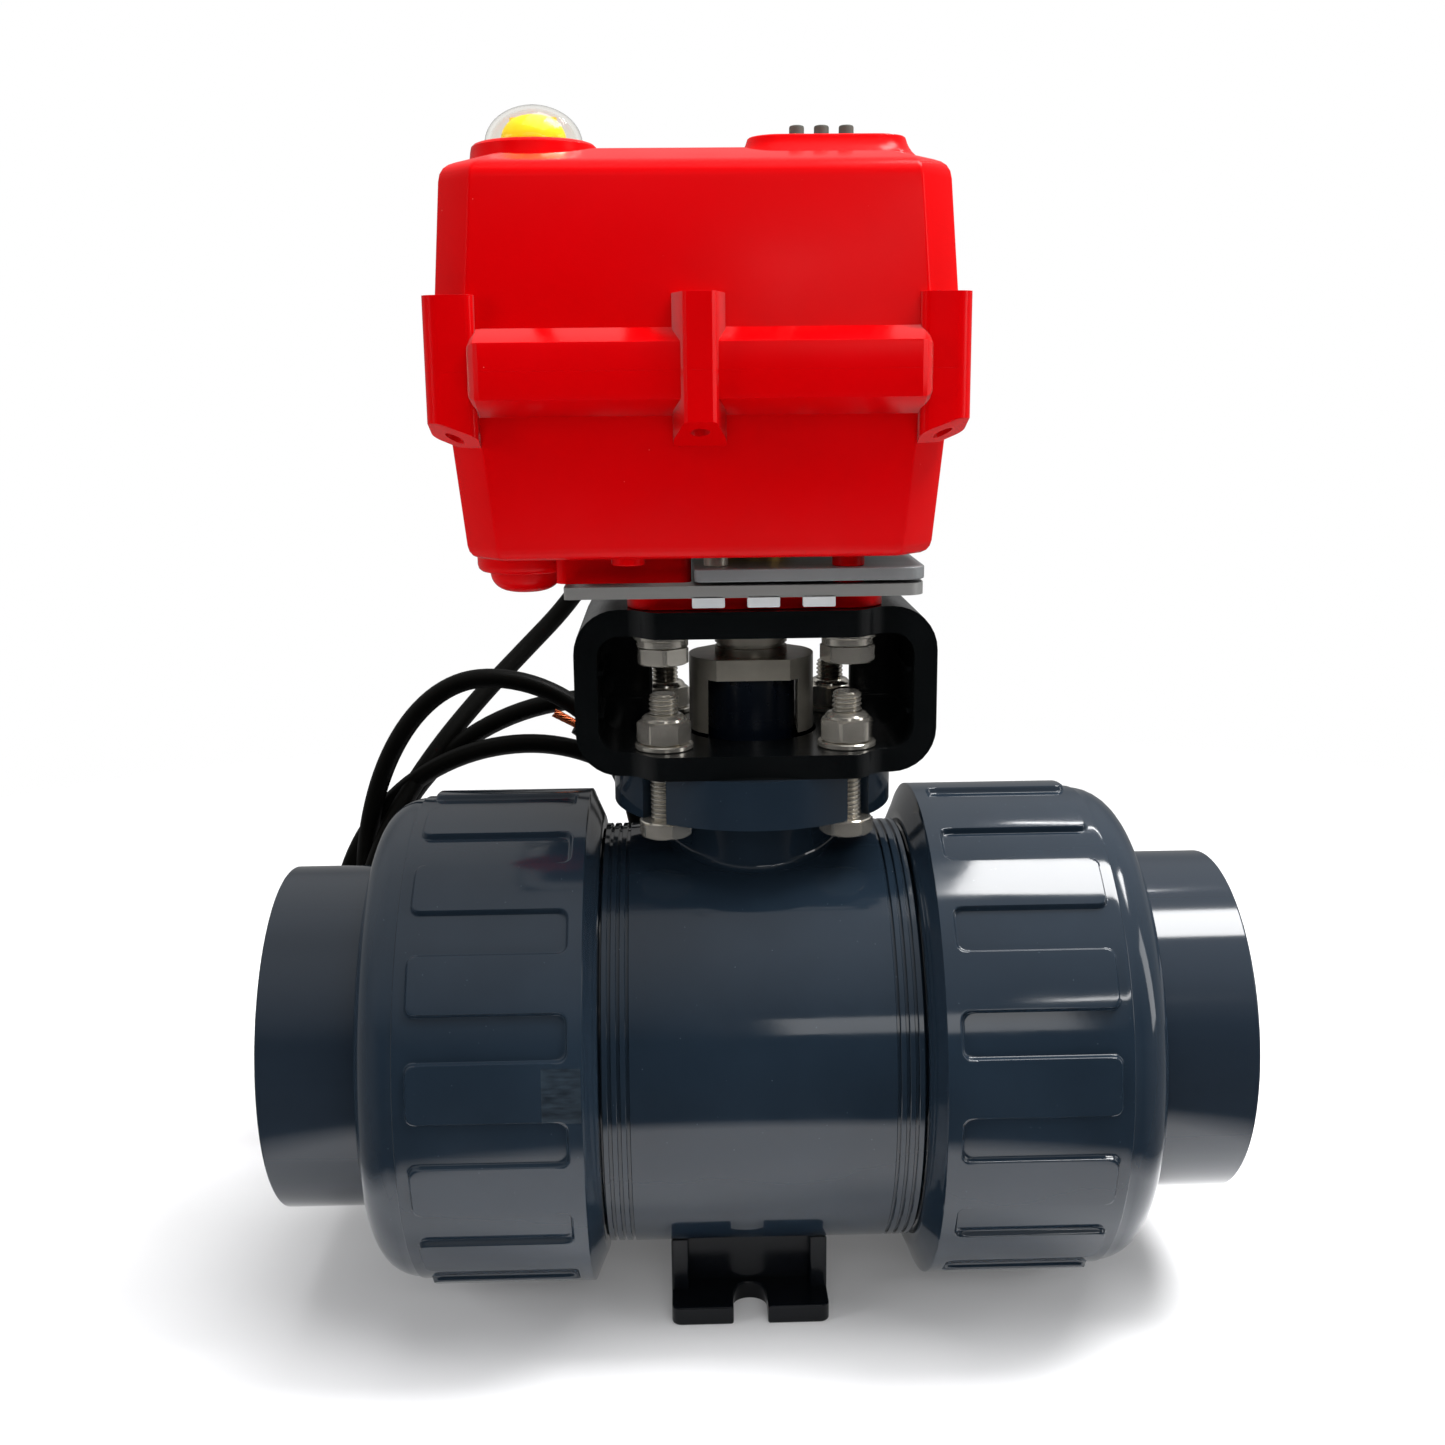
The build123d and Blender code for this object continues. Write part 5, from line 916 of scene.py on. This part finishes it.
# ---- cable
LEAD_ROUTE = (
    (-40, 68, 158), (-40, 86, 158), (-40, 104.5, 154), (-42, 120, 143), (-48.5, 129, 126),
    (-60.5, 129, 108.5), (-76, 120.5, 93.5), (-91, 109, 79), (-106, 96, 62),
    (-119.5, 85, 42), (-128.5, 79, 19), (-132.5, 81, -5),
)
COIL_EXTREMES = (
    (-72, 81.3, -72.7), (-8, 86, -3), (-72, 90, 67.2), (-142, 93, -3),
    (-66, 101.2, -72.7), (-5, 100.5, 3), (-50, 98, 81), (-129, 97.5, 4),
    (-60, 94.4, -72.7), (-24.5, 90, 9.5), (-85, 82, 91.8), (-131.5, 88.6, 9.5),
    (-78, 87.8, -72.7), (-33, 86, 5), (-60, 82, 78),
)


def quarter(start, end, flat_start, steps=5):
    """Points of a quarter-ellipse from one extreme of a turn to the next, without its start."""
    points = []
    for step in range(1, steps + 1):
        turn = pi / 2 * step / steps
        fast, slow = sin(turn), 1 - cos(turn)
        share_x, share_z = (fast, slow) if flat_start else (slow, fast)
        x = start[0] + (end[0] - start[0]) * share_x
        z = start[2] + (end[2] - start[2]) * share_z
        y = start[1] + (end[1] - start[1]) * step / steps
        points.append((x, y, z))
    return points


def cable_route():
    """Lead down from the gland, then the loose turns of the coil, ending behind the bracket."""
    points = [tuple(float(c) for c in point) for point in LEAD_ROUTE]
    here = points[-1]
    for index, extreme in enumerate(COIL_EXTREMES[:-1]):
        points += quarter(here, extreme, flat_start=index % 2 == 1)
        here = extreme
    points += [(-33.4, 84.4, 26), (-36, 82, 46), (-42, 80.5, 61.5), (-48.5, 79.5, 70.3), (-55.0, 79, 75.0)]
    return points


def make_cable():
    """The supply cable as one spline, its sleeve at the gland and the bare wires at its end."""
    line = bpy.data.curves.new("cable", "CURVE")
    line.dimensions = "3D"
    line.bevel_depth = CABLE_R * MM
    line.bevel_resolution = 5
    line.resolution_u = 6
    line.use_fill_caps = True
    route = cable_route()
    spline = line.splines.new("NURBS")
    spline.points.add(len(route) - 1)
    for point, (x, y, z) in zip(spline.points, route):
        point.co = (x * MM, y * MM, (AXIS_Z + z) * MM, 1.0)
    spline.order_u = 3
    spline.use_endpoint_u = True
    line.materials.append(LOOKS["cable_black"])
    cable = linked("cable", line)
    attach(cable, "valve")
    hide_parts("cable_lead", "cable_coil")
    sleeve = make_sleeve()
    wires = make_wire_ends()
    cable_length(cable)


def cable_length(cable):
    """Length of the cable's own centreline in metres."""
    line = bpy.data.objects.new("centreline", cable.data.copy())
    line.data.bevel_depth = 0.0
    mesh = bpy.data.meshes.new_from_object(line)
    points = [vertex.co.copy() for vertex in mesh.vertices]
    bpy.data.curves.remove(line.data)
    bpy.data.meshes.remove(mesh)
    return sum((after - before).length for before, after in zip(points, points[1:]))


def make_sleeve():
    """Tapered sleeve around the first stretch of the cable."""
    x, z = GLAND_SPOT
    rings = []
    for step in range(41):
        y = 67.0 + 24.0 * step / 40
        sag = 0.0 if y < 80 else -0.02 * (y - 80) ** 2 / 2
        radius = 5.2 - 1.6 * step / 40
        if step % 4 in (1, 2) and 3 < step < 38:
            radius -= 0.45
        rings.append([set_along("y", (x, z + sag), y, *spot) for spot in circle(radius, steps=32)])
    return piece("gland_sleeve", loft(rings), "gland_black", sharp=40.0)


def make_wire_ends():
    """Twisted bare copper strands that stand out of the cable's end."""
    start = Vector((-54.6, 79.0, AXIS_Z + 74.9))
    direction = Vector((-0.86, -0.06, 0.5)).normalized()
    across = direction.cross(Vector((0, 1, 0))).normalized()
    up = across.cross(direction)

    def around(angle):
        return across * cos(angle) + up * sin(angle)

    strands = []
    for strand in range(9):
        phase = 2 * pi * strand / 9
        spread_r = 0.95 if strand else 0.0
        rings = []
        for step in range(19):
            along = 9.0 * step / 18 + (0.25 * sin(5.0 * strand) if step == 18 else 0.0)
            fan = spread_r * (1.0 + 0.03 * along)
            middle = start + direction * along + around(phase + 0.34 * along) * fan
            rings.append([tuple(middle + around(pi * k / 4) * 0.36) for k in range(8)])
        strands.append(loft(rings))
    return piece("wire_strands", join(*strands), "copper", "wire_ends", sharp=60.0)


# ---- light, floor and camera, in metres
def add_area(name, place, target, size, power, mirrored=True):
    """Soft rectangular light at a place, turned towards a target."""
    light = bpy.data.lights.new(name, "AREA")
    light.shape = "RECTANGLE"
    light.size, light.size_y = size
    light.energy = power
    made = linked(name, light)
    made.visible_glossy = mirrored
    made.location = place
    made.rotation_euler = (Vector(target) - Vector(place)).to_track_quat("-Z", "Y").to_euler()


def make_world():
    """White to the eye; in reflections a studio, dark in front, brighter behind, above and at the sides."""
    world = bpy.data.worlds.new("studio")
    bpy.context.scene.world = world
    world.use_nodes = True
    tree = world.node_tree
    background = tree.nodes["Background"]
    place = tree.nodes.new("ShaderNodeTexCoord").outputs["Generated"]
    split = add_node(tree, "ShaderNodeSeparateXYZ", {"Vector": place}).outputs
    sideways = add_node(tree, "ShaderNodeMath", {0: split["X"]}, operation="ABSOLUTE").outputs["Value"]
    behind = spread(tree, split["Y"], 0.02, 0.24, -0.1, 0.6)
    beside = spread(tree, sideways, 0.0, 0.25, 0.55, 1.0)
    above = spread(tree, split["Z"], 0.0, 0.62, 0.25, 0.9)
    around = add_node(tree, "ShaderNodeMath", {0: behind, 1: beside}).outputs["Value"]
    studio = add_node(tree, "ShaderNodeMath", {0: around, 1: above}).outputs["Value"]
    ray = tree.nodes.new("ShaderNodeLightPath").outputs
    seen = {0: ray["Is Camera Ray"], 1: ray["Is Transmission Ray"]}
    direct = add_node(tree, "ShaderNodeMath", seen, operation="MAXIMUM").outputs["Value"]
    tree.links.new(mixed(tree, direct, studio, [1.0] * 4), background.inputs["Color"])
    dimmed = spread(tree, ray["Is Diffuse Ray"], 1.0, 0.45, 0.0, 1.0)
    tree.links.new(dimmed, background.inputs["Strength"])


def make_floor():
    """White floor that fades into the backdrop away from the object."""
    mesh = bpy.data.meshes.new("floor")
    steps = 96
    points = [(0.0, 0.0, 0.0)]
    faces = []
    for ring, radius in enumerate((0.4, 0.8, 1.2, 1.8)):
        for step, spot in enumerate(circle(radius, steps=steps)):
            points.append((*spot, 0.0))
            here, after = 1 + ring * steps + step, 1 + ring * steps + (step + 1) % steps
            faces.append((0, here, after) if ring == 0 else (here - steps, here, after, after - steps))
    mesh.from_pydata(points, [], faces)
    material = surface("floor_white", (238, 238, 240), (242, 242, 243), (0.55, 0.65), 12.0)
    tree = material.node_tree
    shader = tree.nodes["Principled BSDF"]
    inputs = {0: object_place(tree)}
    away = add_node(tree, "ShaderNodeVectorMath", inputs, operation="LENGTH").outputs["Value"]
    mirrored = tree.nodes.new("ShaderNodeLightPath").outputs["Is Glossy Ray"]
    seen_fade = spread(tree, away, 1.0, 0.0, 0.3, 0.75)
    mirror_fade = spread(tree, away, 1.0, 0.0, 0.17, 0.2)
    fade = add_node(tree, "ShaderNodeMix", {0: mirrored, 2: seen_fade, 3: mirror_fade})
    tree.links.new(fade.outputs[0], shader.inputs["Alpha"])
    shader.inputs["Emission Color"].default_value = [1.0] * 4
    shader.inputs["Emission Strength"].default_value = 0.1
    mesh.materials.append(material)
    linked("floor", mesh)


def make_camera():
    """Camera a little above the valve, looking slightly down."""
    pitch, yaw, roll = radians(12.22), radians(1.56), radians(-0.58)
    forward = Vector((sin(yaw), cos(yaw), 0.0))
    level = Vector((cos(yaw), -sin(yaw), 0.0))
    ahead = forward * cos(pitch) - Vector((0, 0, 1)) * sin(pitch)
    upward = level.cross(ahead)
    right = level * cos(roll) + upward * sin(roll)
    up = upward * cos(roll) - level * sin(roll)
    camera = linked("camera", bpy.data.cameras.new("camera"))
    turned = Matrix((right, up, -ahead)).transposed().to_4x4()
    camera.matrix_world = Matrix.Translation((-0.0204, -0.4466, 0.26487)) @ turned
    camera.data.sensor_width = 36.0
    camera.data.lens = 39.8
    camera.data.clip_start = 0.01
    bpy.context.scene.camera = camera


def paint(node, look):
    """Gives a node of the CAD model a better material."""
    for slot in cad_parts[node].material_slots:
        slot.material = LOOKS[look]


CAD_NODES = {
    "pvc_turned": ("ball", "seat_carrier"),
    "pvc_stem": ("valve_stem",),
    "seal_rubber": ("stem_seals", "carrier_seal", "face_seals", "cover_gasket"),
    "seat_white": ("ball_seat_left", "ball_seat_right"),
    "gear_brass": ("output_gear", "motor_pinion", "shaft_bush"),
    "gear_nylon": (
        "second_wheel", "first_wheel", "indicator_drive_gear", "indicator_idler", "indicator_shaft",
        "limit_cams",
    ),
    "motor_can": ("motor",),
    "stainless": ("gear_axles", "output_shaft"),
    "drawn_steel": ("gear_plate",),
    "switch_black": ("limit_switches",),
    "board_green": ("control_board",),
    "terminal_green": ("terminal_block",),
}

make_camera()
make_cable()
make_valve_body()
left_nut = make_union_nut(-1, "left", 9.6, "pvc_dark_grey_worn")
mark_scrape(left_nut)
make_union_nut(1, "right", 8.3, "pvc_dark_grey")
for connector_side, connector_name in ((-1, "left"), (1, "right")):
    make_connector(connector_side, connector_name)
make_foot()
make_flange_bolts()
make_bracket_bolts()
make_bracket()
make_coupling()
make_plates()
make_pillars()
make_housing()
make_cover()
make_cover_screws()
make_plug()
make_gland()
make_indicator()
make_buttons()
for cad_look, cad_nodes in CAD_NODES.items():
    for cad_node in cad_nodes:
        paint(cad_node, cad_look)

make_world()
make_floor()
add_area("overhead", (0.48, -0.03, 1.15), (0.06, 0.0, 0.1), (0.38, 0.5), 12.0)
add_area("soft_overhead", (0.25, -0.12, 1.3), (0.0, 0.0, 0.1), (1.2, 1.1), 20.0, mirrored=False)
add_area("rear_line", (0.42, 0.55, 1.0), (0.08, 0.0, 0.1), (0.3, 0.02), 0.6)
add_area("low_line", (0.45, -0.92, 0.65), (0.08, 0.0, 0.1), (0.3, 0.03), 0.35)
add_area("front_glow", (0.24, -1.3, 0.58), (0.02, 0.0, 0.1), (0.32, 0.2), 0.5)
add_area("left", (-1.0, -0.45, 0.45), (0.0, 0.0, 0.12), (0.3, 0.7), 4.0, mirrored=False)
add_area("right", (1.1, -0.35, 0.5), (0.0, 0.0, 0.12), (0.3, 0.7), 2.5)
add_area("front", (-0.1, -1.8, 1.3), (0.0, 0.0, 0.12), (1.6, 0.5), 5.5, mirrored=False)
bpy.context.scene.view_settings.view_transform = "Standard"
